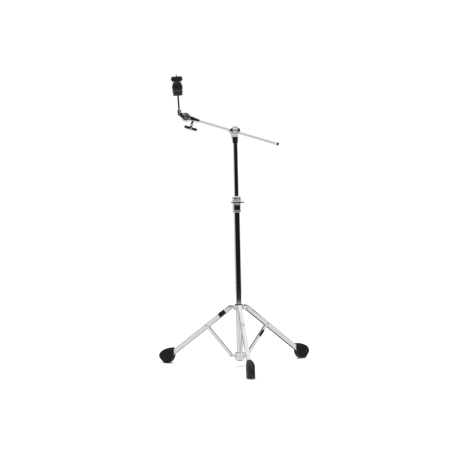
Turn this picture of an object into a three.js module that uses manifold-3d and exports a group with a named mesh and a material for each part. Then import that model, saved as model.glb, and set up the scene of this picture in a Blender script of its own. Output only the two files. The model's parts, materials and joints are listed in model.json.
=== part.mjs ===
// A cymbal boom stand: a single-braced folding tripod, a telescoping column with a memory lock,
// and a sliding boom with a tilting cymbal rod at its end.
// Millimetres, +Z up. The column stands on the Z axis of the model while it is built, with the front
// leg towards -Y, and the last lines move the whole stand so that the origin is at the middle of its base.
import * as THREE from "three";
import { mergeVertices } from "three/addons/utils/BufferGeometryUtils.js";
import Module from "manifold-3d";

const wasm = await Module();
wasm.setup();

// ---------------------------------------------------------------- driving dimensions, in millimetres

const GAP = 0.3; // clearance between two pieces that touch or slide on each other
const LAP = 1; // how far one shape reaches into another that it is joined to
const ROOT = 3; // how far a boss or lug reaches into the ring it stands on
const EDGE = 1.5; // chamfer on the rim of a casting

// Column
const UPPER_TUBE_RADIUS = 9.525;
const UPPER_TUBE_WALL = 1.2;
const UPPER_TUBE_INSIDE_BASE = 375; // how far the lowered upper tube reaches below the clamp's top
const UPPER_TUBE_SHOWN = 218.5; // bare tube between the memory lock and the top sleeve
const BUSHING_WALL = 1.1;
const BUSHING_FLANGE = 2.6; // how far the bushing's head stands out past its sleeve
const BUSHING_SLEEVE_LENGTH = 20;
const BASE_TUBE_WALL = 1.475;
const BASE_TUBE_RADIUS = UPPER_TUBE_RADIUS + GAP + BUSHING_WALL + GAP + BASE_TUBE_WALL;
const BASE_TUBE_BOTTOM = 22;
const END_CAP_HEIGHT = 3.5;
const END_CAP_SPIGOT = 12;

// Height clamp and memory lock
const CLAMP_BOTTOM = 629;
const CLAMP_HEIGHT = 46.5;
const CLAMP_RIM = 2; // height of the chamfer round the clamp's lower end
const CLAMP_WALL = 4.5;
const CLAMP_HEAD = 15; // height of the clamp above the base tube's end
const CLAMP_BOLT_BELOW_TOP = 6;
const CLAMP_BOSS_RADIUS = 5.7;
const CLAMP_BOSS_LENGTH = 4;
const LOCK_HEIGHT = 19;
const LOCK_WALL = 8.6;
const LOCK_SHOULDER = 3; // height of the chamfer round the lock's upper end
const LOCK_BOSS_RADIUS = 6.8;
const LOCK_BOSS_LENGTH = 4;
const LOCK_BOSS_AZIMUTH = 24;
const LOCK_BOLT_RADIUS = 2.4;
const LOCK_BOLT_FLANGE_RADIUS = 4.1;
const LOCK_BOLT_FLANGE = 2;
const LOCK_KEY_LENGTH = 6; // from the boss to the end of the square for the drum key

// Tripod: each leg hangs from the sliding collar and is propped by one brace from the fixed collar
const LEG_AZIMUTHS = [0, 120, 240]; // degrees from the front leg, anticlockwise from above
const LEG_ANGLE = 36.2; // below the horizontal
const LEG_LENGTH = 332; // from the top pivot to where the channel enters the foot
const LEG_IN_FOOT = 24;
const LEG_WIDTH = 16;
const LEG_DEPTH = 20.5;
const LEG_WALL = 1.4;
const PIVOT_RADIUS = 37; // of the upper and the lower pivots from the column's axis
const BRACE_AT = 133.8; // from the leg's top pivot to the brace's pivot, along the leg
const BRACE_WIDTH = 9.2;
const BRACE_DEPTH = 15.5;
const BRACE_WALL = 1.4;
const RIVET_RADIUS = 2.4;
const RIVET_HEAD_RADIUS = 4.4;
const RIVET_HEAD_HEIGHT = 1.1;
const RIVET_HEAD_TAPER = 0.6;
const RIVET_HEAD_SUNK = 0.2; // of the top rivet's heads, which are one piece with the leg
const LOWER_COLLAR_BOTTOM = 25;
const LOWER_COLLAR_HEIGHT = 30;
const LOWER_PIVOT_UP = 16; // above the lower collar's bottom
const COLLAR_WALL = 8.5;
const UPPER_COLLAR_HEIGHT = 22;
const UPPER_PIVOT_UP = 12; // above the upper collar's bottom
const UPPER_LUG_WIDTH = 12.2;
const UPPER_LUG_RADIUS = 6.9;
const SLIDE_BUSHING_WALL = 2;
const SLIDE_BUSHING_HEAD = 3.5; // height of the ring that shows on the upper collar
const COLLAR_BOSS_RADIUS = 6.5;
const COLLAR_BOSS_LENGTH = 6;
const COLLAR_BOLT_AZIMUTH = 60;
const SCREW_RADIUS = 2.4;
const SCREW_HEAD_RADIUS = 4.6;
const SCREW_HEAD_HEIGHT = 3;

// Rubber foot, seen from the side of its leg
const FOOT_WIDTH = 31.5;
const FOOT_ROUNDING = 8;
const FOOT_ENTRY_HEIGHT = 43.9; // of the leg's axis above the floor where it enters the foot
const FOOT_HEIGHT = 66;
const FOOT_LENGTH = 77;
const FOOT_SOLE = 22;
const FOOT_HEEL = 22; // from the inner end of the foot to the start of the sole
const FOOT_OVER_LEG = 7; // from the foot's inner end to where the leg's axis is at the entry height

// Boom and its clamp on top of the column
const BOOM_TILT = 16.9; // the cymbal end is the higher one
const BOOM_RADIUS = 6.35;
const BOOM_WALL = 1.2;
const BOOM_TAIL = 184; // from the clamp's axis to the tail end of the rod
const BOOM_REACH = 208; // from the clamp's axis to the cymbal tilter's axis
const END_PLUG_LENGTH = 9;
const END_PLUG_SPIGOT = 15;
const BOOM_CLEAR_OF_NECK = 1.65; // the boom passes behind the column's neck
const LINER_WALL = 0.8;
const LINER_LENGTH = 13;
const EYE_WALL = 2.7; // of the eye bolt, beside the hole for the boom
const EYE_HALF = 8.6; // from the boom's axis to the eye's front and back ends
const EYE_SHANK_RADIUS = 4;
const EYE_HEAD_RADIUS = 12;
const EYE_HEAD_HEIGHT = 4.5;
const EYE_SHANK_PAST_NUT = 2;
const CLAMP_DISC_RADIUS = 18.5;
const CLAMP_SPLIT = 1; // half the gap between the saddle and the clamp's cap
const CLAMP_LOBE_REACH = 22;
const CLAMP_LOBE_HALF = 9.5;
const CLAMP_CAP_BACK = 10.5;
const CLAMP_CAP_ROUND = 2;
const HOUSING_RADIUS = 21.5;
const HOUSING_FRONT = 12; // from the column's axis
const HOUSING_BACK = 4;
const HOUSING_ROUND = 4;
const HOUSING_RECESS = 2.5;
const TILTER_NECK_RADIUS = 14;
const TILTER_NECK_HEIGHT = 8;
const TILTER_NECK_FOOT = 0.175; // how far the neck's foot stands out past the top sleeve's bore
const HOUSING_ABOVE_NECK = 1.5; // from the neck to the lowest point of the boom clamp
const TILTER_SPIGOT_LENGTH = 30;
const TOP_SLEEVE_HEIGHT = 23.2;
const TOP_SLEEVE_WALL_LOW = 0.9;
const TOP_SLEEVE_WALL_HIGH = 1.9;
const TOP_SLEEVE_BAND = 8; // height of the sleeve's widest part
const TUBE_IN_TOP_SLEEVE = 16;

// Wing bolts and the wing nut share one pattern
const WING_SPAN = 55;
const WING_THICK = 11;
const WING_TIP_THICK = 5;
const WING_HEIGHT = 14;
const WING_HUB_RADIUS = 6.2;
const WING_HUB_HEIGHT = 8; // from the hub's seat to the wings
const WING_TIP_CORNER = 6;
const WING_HUB_BELOW_TIPS = 2;
const WING_SHANK_RADIUS = 3;

// Cymbal tilter
const SOCKET_START = 150; // along the boom
const SOCKET_WALL = 2.2;
const SOCKET_WALL_AT_HOUSING = 4.2;
const SOCKET_BAND = 8; // length of the socket's widest part
const SOCKET_FLOOR = 5; // between the end of the boom and the end of the socket
const BRIDGE_LENGTH = 14; // how far the web from the tilter's disc runs along the socket
const DRUM_RADIUS = 18.5;
const DRUM_THICK = 11;
const DRUM_RECESS_RADIUS = 11.5;
const DRUM_RECESS_DEPTH = 2;
const DRUM_BOLT_RADIUS = 3;
const DRUM_BOLT_HEAD = 5.2;
const DRUM_BOLT_HEAD_HEIGHT = 3.2;
const DRUM_BOLT_LAND = 1.6; // width of the flat left round the bolt's head
const DRUM_NUT_HEIGHT = 5;
const DRUM_BOLT_PAST_NUT = 2.7;
const TILTER_BOLT_AT = 176; // along the boom
const TILTER_BOSS_RADIUS = 6.6;
const TILTER_BOSS_DROP = 24;
const ARM_REACH = 29; // from the tilter's axis to the cymbal rod
const ARM_ANGLE = 29.5; // above the horizontal, towards the cymbal rod
const ROD_HOLDER_RADIUS = 8;
const ROD_HOLDER_UP = 19;
const ROD_HOLDER_DOWN = 7;
const ROD_HOLDER_FLOOR = 2;
const SET_SCREW_BELOW_TOP = 5;
const SET_SCREW_HEAD = 0.8; // of the head's radius on the collar screws

// Cymbal rod and what is stacked on it
const ROD_LEAN = 3; // away from the column
const ROD_RADIUS = 4;
const ROD_TIP_RADIUS = 3;
const ROD_TIP_LENGTH = 13;
const SEAT_AT = 78; // along the rod, above the tilter's arm
const SEAT_HEIGHT = 8.5;
const SEAT_RIM_RADIUS = 22;
const SEAT_TOP_RADIUS = 18.5;
const SEAT_HOLLOW = 2;
const SEAT_LIP = 1;
const SEAT_FLARE = 4; // height of the slope between the seat's rim and its top
const ROD_SLEEVE_WALL = 1.7;
const LOWER_FELT = { radius: 21, height: 14.5, worn: 2 }; // worn: how far its edges are rounded off
const MIDDLE_FELT = { radius: 22, height: 19, worn: 3 };
const UPPER_FELT = { radius: 18.5, height: 9, worn: 2 };
const NUT_STEM_RADIUS = 12.3;
const NUT_STEM_HEIGHT = 4.7;
const NUT_BAR_HALF = 21;
const NUT_BAR_HEIGHT = 19;
const NUT_BAR_DEPTH = 20;
const NUT_BAR_TOP_CORNER = 5;
const NUT_BAR_LOW_CORNER = 3;
const NUT_BUTTON_OUT = 2.8; // how far a release button stands out of the bar's end
const NUT_BUTTON_TRAVEL = 2.3;
const NUT_BUTTON_RADIUS = 5.5;
const NUT_BUTTON_IN = 4;
const ROD_ABOVE_NUT = 11;

const SIDES = 20; // facets round a tube or a turned piece
const FINE_SIDES = 12; // facets round a screw, rivet or pin
const CURVE_STEPS = 5; // facets along each curve of a flat outline
const WELD = 1e-4; // corners nearer than this are one corner

// ---------------------------------------------------------------- materials

const steel = (tone, roughness) =>
  new THREE.MeshStandardMaterial({ color: new THREE.Color(tone, tone, tone), roughness, metalness: 1 });
const plain = (color, roughness) => new THREE.MeshStandardMaterial({ color, roughness, metalness: 0 });
const CHROME = steel(0.82, 0.08);
const RUBBER = plain(0x1d1e22, 0.75);
const NYLON = plain(0x151518, 0.45);
const FELT_GREY = plain(0x4b4c50, 1);
const FELT_BLACK = plain(0x26262b, 1);

// ---------------------------------------------------------------- solids

function toSolid(geometry) {
  const bare = geometry.clone();
  bare.deleteAttribute("normal");
  bare.deleteAttribute("uv");
  const merged = mergeVertices(bare, WELD);
  const corners = merged.index.array;
  const whole = [];
  for (let i = 0; i < corners.length; i += 3) {
    const [a, b, c] = corners.slice(i, i + 3);
    if (a !== b && b !== c && c !== a) whole.push(a, b, c);
  }
  const vertProperties = merged.getAttribute("position").array;
  return new wasm.Manifold(new wasm.Mesh({ numProp: 3, vertProperties, triVerts: new Uint32Array(whole) }));
}

function toGeometry(solid) {
  const mesh = solid.getMesh();
  const geometry = new THREE.BufferGeometry();
  geometry.setAttribute("position", new THREE.BufferAttribute(mesh.vertProperties, 3));
  geometry.setIndex(new THREE.BufferAttribute(mesh.triVerts, 1));
  return geometry;
}

const join = (first, ...rest) =>
  toGeometry(rest.reduce((sum, next) => sum.add(toSolid(next)), toSolid(first)));
const cut = (first, ...rest) =>
  toGeometry(rest.reduce((sum, next) => sum.subtract(toSolid(next)), toSolid(first)));
const overlap = (first, second) => toGeometry(toSolid(first).intersect(toSolid(second)));

// A turned solid about Z from [radius, height] pairs, given in order round its half section.
function turned(profile, sides = SIDES) {
  const points = profile.map(([radius, height]) => new THREE.Vector2(radius, height));
  if (THREE.ShapeUtils.area(points) < 0) points.reverse();
  const first = points[0];
  const closed = first.x > 0 || points[points.length - 1].x > 0;
  if (closed) points.push(first.clone());
  return new THREE.LatheGeometry(points, sides).rotateX(Math.PI / 2);
}

const rod = (radius, low, high, sides = SIDES) =>
  turned([[0, low], [radius, low], [radius, high], [0, high]], sides);
const tube = (inner, outer, low, high, sides = SIDES) =>
  turned([[inner, low], [outer, low], [outer, high], [inner, high]], sides);

function block(lowX, highX, lowY, highY, lowZ, highZ) {
  const geometry = new THREE.BoxGeometry(highX - lowX, highY - lowY, highZ - lowZ);
  return geometry.translate((lowX + highX) / 2, (lowY + highY) / 2, (lowZ + highZ) / 2);
}

// A flat outline in the XZ plane, made thick along Y and centred on y = 0.
function slab(shape, thickness) {
  const settings = { depth: thickness, bevelEnabled: false, curveSegments: CURVE_STEPS };
  const geometry = new THREE.ExtrudeGeometry(shape, settings);
  return geometry.translate(0, 0, -thickness / 2).rotateX(Math.PI / 2);
}

// A bar's outline with round ends: from x = 0 to x = length, as high as twice its end radius.
function roundEndedBar(length, radius) {
  const shape = new THREE.Shape();
  shape.absarc(length, 0, radius, -Math.PI / 2, Math.PI / 2);
  shape.absarc(0, 0, radius, Math.PI / 2, (3 * Math.PI) / 2);
  return shape;
}

const alongX = (geometry) => geometry.rotateY(Math.PI / 2);
const alongY = (geometry) => geometry.rotateX(-Math.PI / 2);
const degrees = THREE.MathUtils.degToRad;

const stand = new THREE.Group();

function add(parent, name, geometry, material) {
  const mesh = new THREE.Mesh(geometry, material);
  mesh.name = name;
  parent.add(mesh);
}

// A group whose own +X axis points away from the column at the given azimuth from the front leg.
function radialGroup(azimuth) {
  const group = new THREE.Group();
  group.rotation.z = degrees(azimuth - 90);
  stand.add(group);
  return group;
}

// ---------------------------------------------------------------- wing bolts

// The wings lie along X, and the bolt's axis is Z with its shank downwards from z = 0.
function wings() {
  const half = WING_SPAN / 2;
  const tip = WING_TIP_THICK / 2;
  const plan = new THREE.Shape();
  plan.moveTo(-half + tip, tip);
  plan.absarc(-half + tip, 0, tip, Math.PI / 2, (3 * Math.PI) / 2);
  plan.lineTo(-WING_HUB_RADIUS, -WING_THICK / 2);
  plan.lineTo(WING_HUB_RADIUS, -WING_THICK / 2);
  plan.absarc(half - tip, 0, tip, -Math.PI / 2, Math.PI / 2);
  plan.lineTo(WING_HUB_RADIUS, WING_THICK / 2);
  plan.lineTo(-WING_HUB_RADIUS, WING_THICK / 2);
  const fromAbove = slab(plan, 2 * WING_HEIGHT).rotateX(-Math.PI / 2).translate(0, 0, WING_HUB_HEIGHT);
  const low = WING_HUB_HEIGHT;
  const high = WING_HUB_HEIGHT + WING_HEIGHT;
  const root = WING_HUB_RADIUS;
  const rootLow = low - LAP;
  const rootHigh = high - WING_HUB_BELOW_TIPS;
  const widest = (low + high) / 2;
  const side = new THREE.Shape();
  side.moveTo(-root, rootLow);
  side.lineTo(root, rootLow);
  side.quadraticCurveTo(half, low + LAP, half, widest);
  side.quadraticCurveTo(half, high, half - WING_TIP_CORNER, high);
  side.quadraticCurveTo(1.6 * root, high, root, rootHigh);
  side.lineTo(-root, rootHigh);
  side.quadraticCurveTo(-1.6 * root, high, -half + WING_TIP_CORNER, high);
  side.quadraticCurveTo(-half, high, -half, widest);
  side.quadraticCurveTo(-half, low + LAP, -root, rootLow);
  return overlap(fromAbove, slab(side, 2 * WING_THICK));
}

const wingHubTop = WING_HUB_HEIGHT + WING_HEIGHT - WING_HUB_BELOW_TIPS;
const wingHub = () => rod(WING_HUB_RADIUS, 0, wingHubTop, FINE_SIDES);

function wingBolt(shankLength) {
  return join(wingHub(), wings(), rod(WING_SHANK_RADIUS, -shankLength, LAP, FINE_SIDES));
}

function wingNut(boreRadius) {
  return cut(join(wingHub(), wings()), rod(boreRadius, -LAP, wingHubTop + LAP, FINE_SIDES));
}

// ---------------------------------------------------------------- column and its lower end

const clampTop = CLAMP_BOTTOM + CLAMP_HEIGHT;
const baseTubeTop = clampTop - CLAMP_HEAD;
const baseTubeBore = BASE_TUBE_RADIUS - BASE_TUBE_WALL;

add(stand, "base_tube", tube(baseTubeBore, BASE_TUBE_RADIUS, BASE_TUBE_BOTTOM, baseTubeTop), CHROME);

const spigotRadius = baseTubeBore - GAP;
const capTop = BASE_TUBE_BOTTOM - GAP;
const endCap = turned([
  [0, capTop - END_CAP_HEIGHT],
  [BASE_TUBE_RADIUS * 0.6, capTop - END_CAP_HEIGHT],
  [BASE_TUBE_RADIUS, capTop - END_CAP_HEIGHT / 3],
  [BASE_TUBE_RADIUS, capTop],
  [spigotRadius, capTop],
  [spigotRadius, capTop + END_CAP_SPIGOT],
  [0, capTop + END_CAP_SPIGOT],
]);
add(stand, "base_end_cap", endCap, NYLON);

// ---------------------------------------------------------------- tripod collars

const legTopHeight = FOOT_ENTRY_HEIGHT + LEG_LENGTH * Math.sin(degrees(LEG_ANGLE));
const upperCollarBottom = legTopHeight - UPPER_PIVOT_UP;
const upperCollarTop = upperCollarBottom + UPPER_COLLAR_HEIGHT;
const lowerPivotHeight = LOWER_COLLAR_BOTTOM + LOWER_PIVOT_UP;
const collarRadius = BASE_TUBE_RADIUS + GAP + COLLAR_WALL;

// The brace runs between the lower pivot and its pivot on the leg.
const bracePivot = {
  out: BRACE_AT * Math.cos(degrees(LEG_ANGLE)),
  up: legTopHeight - BRACE_AT * Math.sin(degrees(LEG_ANGLE)) - lowerPivotHeight,
};
const braceLength = Math.hypot(bracePivot.out, bracePivot.up);
const braceAngle = Math.atan2(bracePivot.up, bracePivot.out);

// A lug that stands out of a collar along +X to the pivot at the given height.
function lug(height, width, endRadius, holeRadius) {
  const bar = slab(roundEndedBar(PIVOT_RADIUS, endRadius), width).translate(0, 0, height);
  const low = height - 2 * endRadius;
  const high = height + 2 * endRadius;
  const outside = block(collarRadius - ROOT, 2 * PIVOT_RADIUS, -width, width, low, high);
  const plate = overlap(bar, outside);
  if (!holeRadius) return plate;
  const hole = alongY(rod(holeRadius, -width, width, FINE_SIDES)).translate(PIVOT_RADIUS, 0, height);
  return cut(plate, hole);
}

const turnAbout = (geometry, azimuth) => geometry.rotateZ(degrees(azimuth - 90));

function collarBody(low, high, boreRadius) {
  return turned([
    [boreRadius, low],
    [collarRadius - EDGE, low],
    [collarRadius, low + EDGE],
    [collarRadius, high - EDGE],
    [collarRadius - EDGE, high],
    [boreRadius, high],
  ]);
}

const lowerLugWidth = BRACE_WIDTH - 2 * BRACE_WALL - 2 * GAP;
const lowerLugRadius = BRACE_DEPTH / 2 - BRACE_WALL - GAP;
let lowerCollar = collarBody(
  LOWER_COLLAR_BOTTOM,
  LOWER_COLLAR_BOTTOM + LOWER_COLLAR_HEIGHT,
  BASE_TUBE_RADIUS + GAP,
);
for (const azimuth of LEG_AZIMUTHS) {
  const ear = lug(lowerPivotHeight, lowerLugWidth, lowerLugRadius, RIVET_RADIUS + GAP);
  lowerCollar = join(lowerCollar, turnAbout(ear, azimuth));
}
const screwHeight = LOWER_COLLAR_BOTTOM + LOWER_COLLAR_HEIGHT / 2;
const screwAzimuths = LEG_AZIMUTHS.map((azimuth) => azimuth + 60);
for (const azimuth of screwAzimuths) {
  const hole = alongX(rod(SCREW_RADIUS + GAP, 0, 2 * collarRadius, FINE_SIDES));
  lowerCollar = cut(lowerCollar, turnAbout(hole.translate(0, 0, screwHeight), azimuth));
}
add(stand, "lower_leg_collar", lowerCollar, CHROME);

// Socket-head screws hold the lower collar on the tube.
screwAzimuths.forEach((azimuth, index) => {
  const tip = BASE_TUBE_RADIUS + GAP;
  const head = collarRadius + GAP;
  const screw = join(
    rod(SCREW_RADIUS, tip, head + LAP, FINE_SIDES),
    rod(SCREW_HEAD_RADIUS, head, head + SCREW_HEAD_HEIGHT, FINE_SIDES),
  );
  const socket = rod(SCREW_HEAD_RADIUS / 2, head + LAP, head + 2 * SCREW_HEAD_HEIGHT, 6);
  const group = radialGroup(azimuth);
  add(group, `collar_screw_${index + 1}`, alongX(cut(screw, socket)).translate(0, 0, screwHeight), CHROME);
});

// The sliding collar: its bolt bears on the tube, and a nylon bushing lines its bore.
const slideBore = BASE_TUBE_RADIUS + GAP;
const slideBushingRadius = slideBore + SLIDE_BUSHING_WALL;
const collarBossEnd = collarRadius + COLLAR_BOSS_LENGTH;
let upperCollar = collarBody(upperCollarBottom, upperCollarTop, slideBushingRadius + GAP);
for (const azimuth of LEG_AZIMUTHS) {
  const ear = lug(legTopHeight, UPPER_LUG_WIDTH, UPPER_LUG_RADIUS, 0);
  upperCollar = join(upperCollar, turnAbout(ear, azimuth));
}
const boltHeight = (upperCollarBottom + upperCollarTop) / 2;
const boltBoss = alongX(rod(COLLAR_BOSS_RADIUS, collarRadius - ROOT, collarBossEnd, FINE_SIDES));
const boltHole = alongX(rod(WING_SHANK_RADIUS + GAP, 0, 2 * collarBossEnd, FINE_SIDES));
turnAbout(boltBoss.translate(0, 0, boltHeight), COLLAR_BOLT_AZIMUTH);
turnAbout(boltHole.translate(0, 0, boltHeight), COLLAR_BOLT_AZIMUTH);
upperCollar = cut(join(upperCollar, boltBoss), boltHole);
add(stand, "upper_leg_collar", upperCollar, CHROME);

const slideHeadBottom = upperCollarTop + GAP;
const slideHeadTop = slideHeadBottom + SLIDE_BUSHING_HEAD;
const slideBushing = turned([
  [slideBore, upperCollarBottom],
  [slideBushingRadius, upperCollarBottom],
  [slideBushingRadius, slideHeadBottom],
  [slideBushingRadius + EDGE, slideHeadBottom],
  [slideBushingRadius + EDGE, slideHeadTop - EDGE],
  [slideBushingRadius, slideHeadTop],
  [slideBore, slideHeadTop],
]);
add(stand, "collar_bushing", cut(slideBushing, boltHole), NYLON);

// The bolt's tip stops just short of the tube.
const collarBoltShank = collarBossEnd + GAP - (slideBore + GAP);
const collarBolt = alongX(wingBolt(collarBoltShank).rotateZ(Math.PI / 2));
collarBolt.translate(collarBossEnd + GAP, 0, boltHeight);
add(radialGroup(COLLAR_BOLT_AZIMUTH), "leg_wing_bolt", collarBolt, CHROME);

// ---------------------------------------------------------------- legs, braces and feet

const footEntryRadius = PIVOT_RADIUS + LEG_LENGTH * Math.cos(degrees(LEG_ANGLE));

// A round-ended channel along +X, open on one side: openSide is +1 for up and -1 for down.
function channel(length, width, depth, wall, openSide) {
  const bar = slab(roundEndedBar(length, depth / 2), width);
  const inside = width / 2 - wall;
  const floor = depth / 2 - wall;
  const room =
    openSide > 0
      ? block(-depth, length + depth, -inside, inside, -floor, depth)
      : block(-depth, length + depth, -inside, inside, -depth, floor);
  return cut(bar, room);
}

const rivetHole = (x) =>
  alongY(rod(RIVET_RADIUS + GAP, -LEG_WIDTH, LEG_WIDTH, FINE_SIDES)).translate(x, 0, 0);

function rivet(halfGrip, x) {
  const headStart = halfGrip + GAP;
  const headEnd = headStart + RIVET_HEAD_HEIGHT;
  const profile = [
    [0, -headEnd],
    [RIVET_HEAD_RADIUS - RIVET_HEAD_TAPER, -headEnd],
    [RIVET_HEAD_RADIUS, -headStart],
    [RIVET_RADIUS, -headStart],
    [RIVET_RADIUS, headStart],
    [RIVET_HEAD_RADIUS, headStart],
    [RIVET_HEAD_RADIUS - RIVET_HEAD_TAPER, headEnd],
    [0, headEnd],
  ];
  return alongY(turned(profile, FINE_SIDES)).translate(x, 0, 0);
}

function footGeometry() {
  const inner = footEntryRadius - FOOT_OVER_LEG;
  const outer = inner + FOOT_LENGTH;
  const soleStart = inner + FOOT_HEEL;
  const soleEnd = soleStart + FOOT_SOLE;
  const top = FOOT_HEIGHT;
  const outline = new THREE.Shape();
  outline.moveTo(soleStart, 0);
  outline.lineTo(soleEnd, 0);
  outline.quadraticCurveTo(soleEnd + 6, 1, outer - 10, top * 0.3);
  outline.quadraticCurveTo(outer + 2, top * 0.48, outer - 8, top * 0.68);
  outline.quadraticCurveTo(outer - 26, top * 0.94, inner + 22, top);
  outline.quadraticCurveTo(inner + 8, top * 1.02, inner + 3, top * 0.84);
  outline.lineTo(inner, top * 0.42);
  outline.quadraticCurveTo(inner + 2, top * 0.1, soleStart, 0);
  const middle = (inner + outer) / 2;
  const half = FOOT_LENGTH / 2 + 2;
  const side = FOOT_WIDTH / 2;
  const plan = new THREE.Shape();
  plan.moveTo(-half, side - FOOT_ROUNDING);
  plan.lineTo(-half, -side + FOOT_ROUNDING);
  plan.quadraticCurveTo(-half, -side, -half + 2 * FOOT_ROUNDING, -side);
  plan.lineTo(0, -side);
  plan.quadraticCurveTo(half, -side, half, 0);
  plan.quadraticCurveTo(half, side, 0, side);
  plan.lineTo(-half + 2 * FOOT_ROUNDING, side);
  plan.quadraticCurveTo(-half, side, -half, side - FOOT_ROUNDING);
  const fromAbove = slab(plan, 4 * FOOT_HEIGHT).rotateX(Math.PI / 2).translate(middle, 0, 0);
  const body = overlap(slab(outline, FOOT_WIDTH), fromAbove);
  const room = block(
    LEG_LENGTH - LEG_DEPTH,
    LEG_LENGTH + LEG_IN_FOOT + GAP,
    -LEG_WIDTH / 2 - GAP,
    LEG_WIDTH / 2 + GAP,
    -LEG_DEPTH / 2 - GAP,
    LEG_DEPTH / 2 + GAP,
  );
  room.rotateY(degrees(LEG_ANGLE)).translate(PIVOT_RADIUS, 0, legTopHeight);
  return cut(body, room);
}

function legGeometry() {
  const length = LEG_LENGTH + LEG_IN_FOOT;
  const bar = channel(length + LEG_DEPTH, LEG_WIDTH, LEG_DEPTH, LEG_WALL, -1);
  const square = block(-LEG_DEPTH, length, -LEG_WIDTH, LEG_WIDTH, -LEG_DEPTH, LEG_DEPTH);
  return cut(overlap(bar, square), rivetHole(BRACE_AT));
}

function braceGeometry() {
  const bar = channel(braceLength, BRACE_WIDTH, BRACE_DEPTH, BRACE_WALL, 1);
  return cut(bar, rivetHole(0), rivetHole(braceLength));
}

// The head of the top pivot's rivet, closed over each side of the leg.
function topRivetHeads() {
  const outside = LEG_WIDTH / 2 - RIVET_HEAD_SUNK;
  const head = [
    [0, outside],
    [RIVET_HEAD_RADIUS, outside],
    [RIVET_HEAD_RADIUS - RIVET_HEAD_TAPER, outside + RIVET_HEAD_HEIGHT],
    [0, outside + RIVET_HEAD_HEIGHT],
  ];
  const far = alongY(turned(head, FINE_SIDES));
  return [far, far.clone().rotateZ(Math.PI)];
}

LEG_AZIMUTHS.forEach((azimuth, index) => {
  const side = radialGroup(azimuth);
  const number = index + 1;
  add(side, `foot_${number}`, footGeometry(), RUBBER);
  const leg = new THREE.Group();
  leg.position.set(PIVOT_RADIUS, 0, legTopHeight);
  leg.rotation.y = degrees(LEG_ANGLE);
  side.add(leg);
  add(leg, `leg_${number}`, join(legGeometry(), ...topRivetHeads()), CHROME);
  add(leg, `brace_rivet_${number}`, rivet(LEG_WIDTH / 2, BRACE_AT), CHROME);
  const brace = new THREE.Group();
  brace.position.set(PIVOT_RADIUS, 0, lowerPivotHeight);
  brace.rotation.y = -braceAngle;
  side.add(brace);
  add(brace, `brace_${number}`, braceGeometry(), CHROME);
  add(brace, `lower_rivet_${number}`, rivet(BRACE_WIDTH / 2, 0), CHROME);
});

// ---------------------------------------------------------------- height clamp, bushing and memory lock

const clampRadius = BASE_TUBE_RADIUS + GAP + CLAMP_WALL;
const bushingBore = UPPER_TUBE_RADIUS + GAP;
const bushingRadius = bushingBore + BUSHING_WALL;
const bushingHeadRadius = bushingRadius + BUSHING_FLANGE;
const bushingHeadBottom = baseTubeTop + GAP;
const clampBoltHeight = clampTop - CLAMP_BOLT_BELOW_TOP;
const clampBossEnd = clampRadius + CLAMP_BOSS_LENGTH;

const clampShell = turned([
  [BASE_TUBE_RADIUS + GAP, CLAMP_BOTTOM],
  [clampRadius - EDGE, CLAMP_BOTTOM],
  [clampRadius, CLAMP_BOTTOM + CLAMP_RIM],
  [clampRadius, clampTop - EDGE],
  [clampRadius - EDGE, clampTop],
  [bushingHeadRadius + GAP, clampTop],
  [bushingHeadRadius + GAP, baseTubeTop],
  [BASE_TUBE_RADIUS + GAP, baseTubeTop],
]);
const clampBoss = alongX(rod(CLAMP_BOSS_RADIUS, clampRadius - ROOT, clampBossEnd, FINE_SIDES));
const clampHole = alongX(rod(WING_SHANK_RADIUS + GAP, 0, 2 * clampBossEnd, FINE_SIDES));
const heightClamp = cut(
  join(clampShell, turnAbout(clampBoss.translate(0, 0, clampBoltHeight), 0)),
  turnAbout(clampHole.translate(0, 0, clampBoltHeight), 0),
  rod(bushingHeadRadius + GAP, baseTubeTop, clampTop + LAP),
);
add(stand, "height_clamp", heightClamp, CHROME);

const clampBoltShank = clampBossEnd + GAP - (bushingHeadRadius + GAP);
const clampBolt = alongX(wingBolt(clampBoltShank).rotateZ(Math.PI / 2));
clampBolt.translate(clampBossEnd + GAP, 0, clampBoltHeight);
add(radialGroup(0), "height_wing_bolt", clampBolt, CHROME);

const bushingTop = clampTop - GAP;
const bushing = turned([
  [bushingBore, baseTubeTop - BUSHING_SLEEVE_LENGTH],
  [bushingRadius, baseTubeTop - BUSHING_SLEEVE_LENGTH],
  [bushingRadius, bushingHeadBottom],
  [bushingHeadRadius, bushingHeadBottom],
  [bushingHeadRadius, bushingTop],
  [bushingBore, bushingTop],
]);
add(stand, "clamp_bushing", bushing, NYLON);

const lockBottom = clampTop + GAP;
const lockTop = lockBottom + LOCK_HEIGHT;
const lockRadius = bushingBore + LOCK_WALL;
const lockRing = turned([
  [bushingBore, lockBottom],
  [lockRadius - EDGE, lockBottom],
  [lockRadius, lockBottom + EDGE],
  [lockRadius, lockTop - LOCK_SHOULDER],
  [lockRadius - LOCK_SHOULDER, lockTop],
  [bushingBore, lockTop],
]);
const lockBossEnd = lockRadius + LOCK_BOSS_LENGTH;
const lockBoltHeight = (lockBottom + lockTop) / 2;
const lockBoss = alongX(rod(LOCK_BOSS_RADIUS, lockRadius - ROOT, lockBossEnd));
const lockBoltHole = alongX(rod(LOCK_BOLT_RADIUS + GAP, 0, 2 * lockRadius, FINE_SIDES));
turnAbout(lockBoss.translate(0, 0, lockBoltHeight), LOCK_BOSS_AZIMUTH);
turnAbout(lockBoltHole.translate(0, 0, lockBoltHeight), LOCK_BOSS_AZIMUTH);
add(stand, "memory_lock", cut(join(lockRing, lockBoss), lockBoltHole), CHROME);

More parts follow.
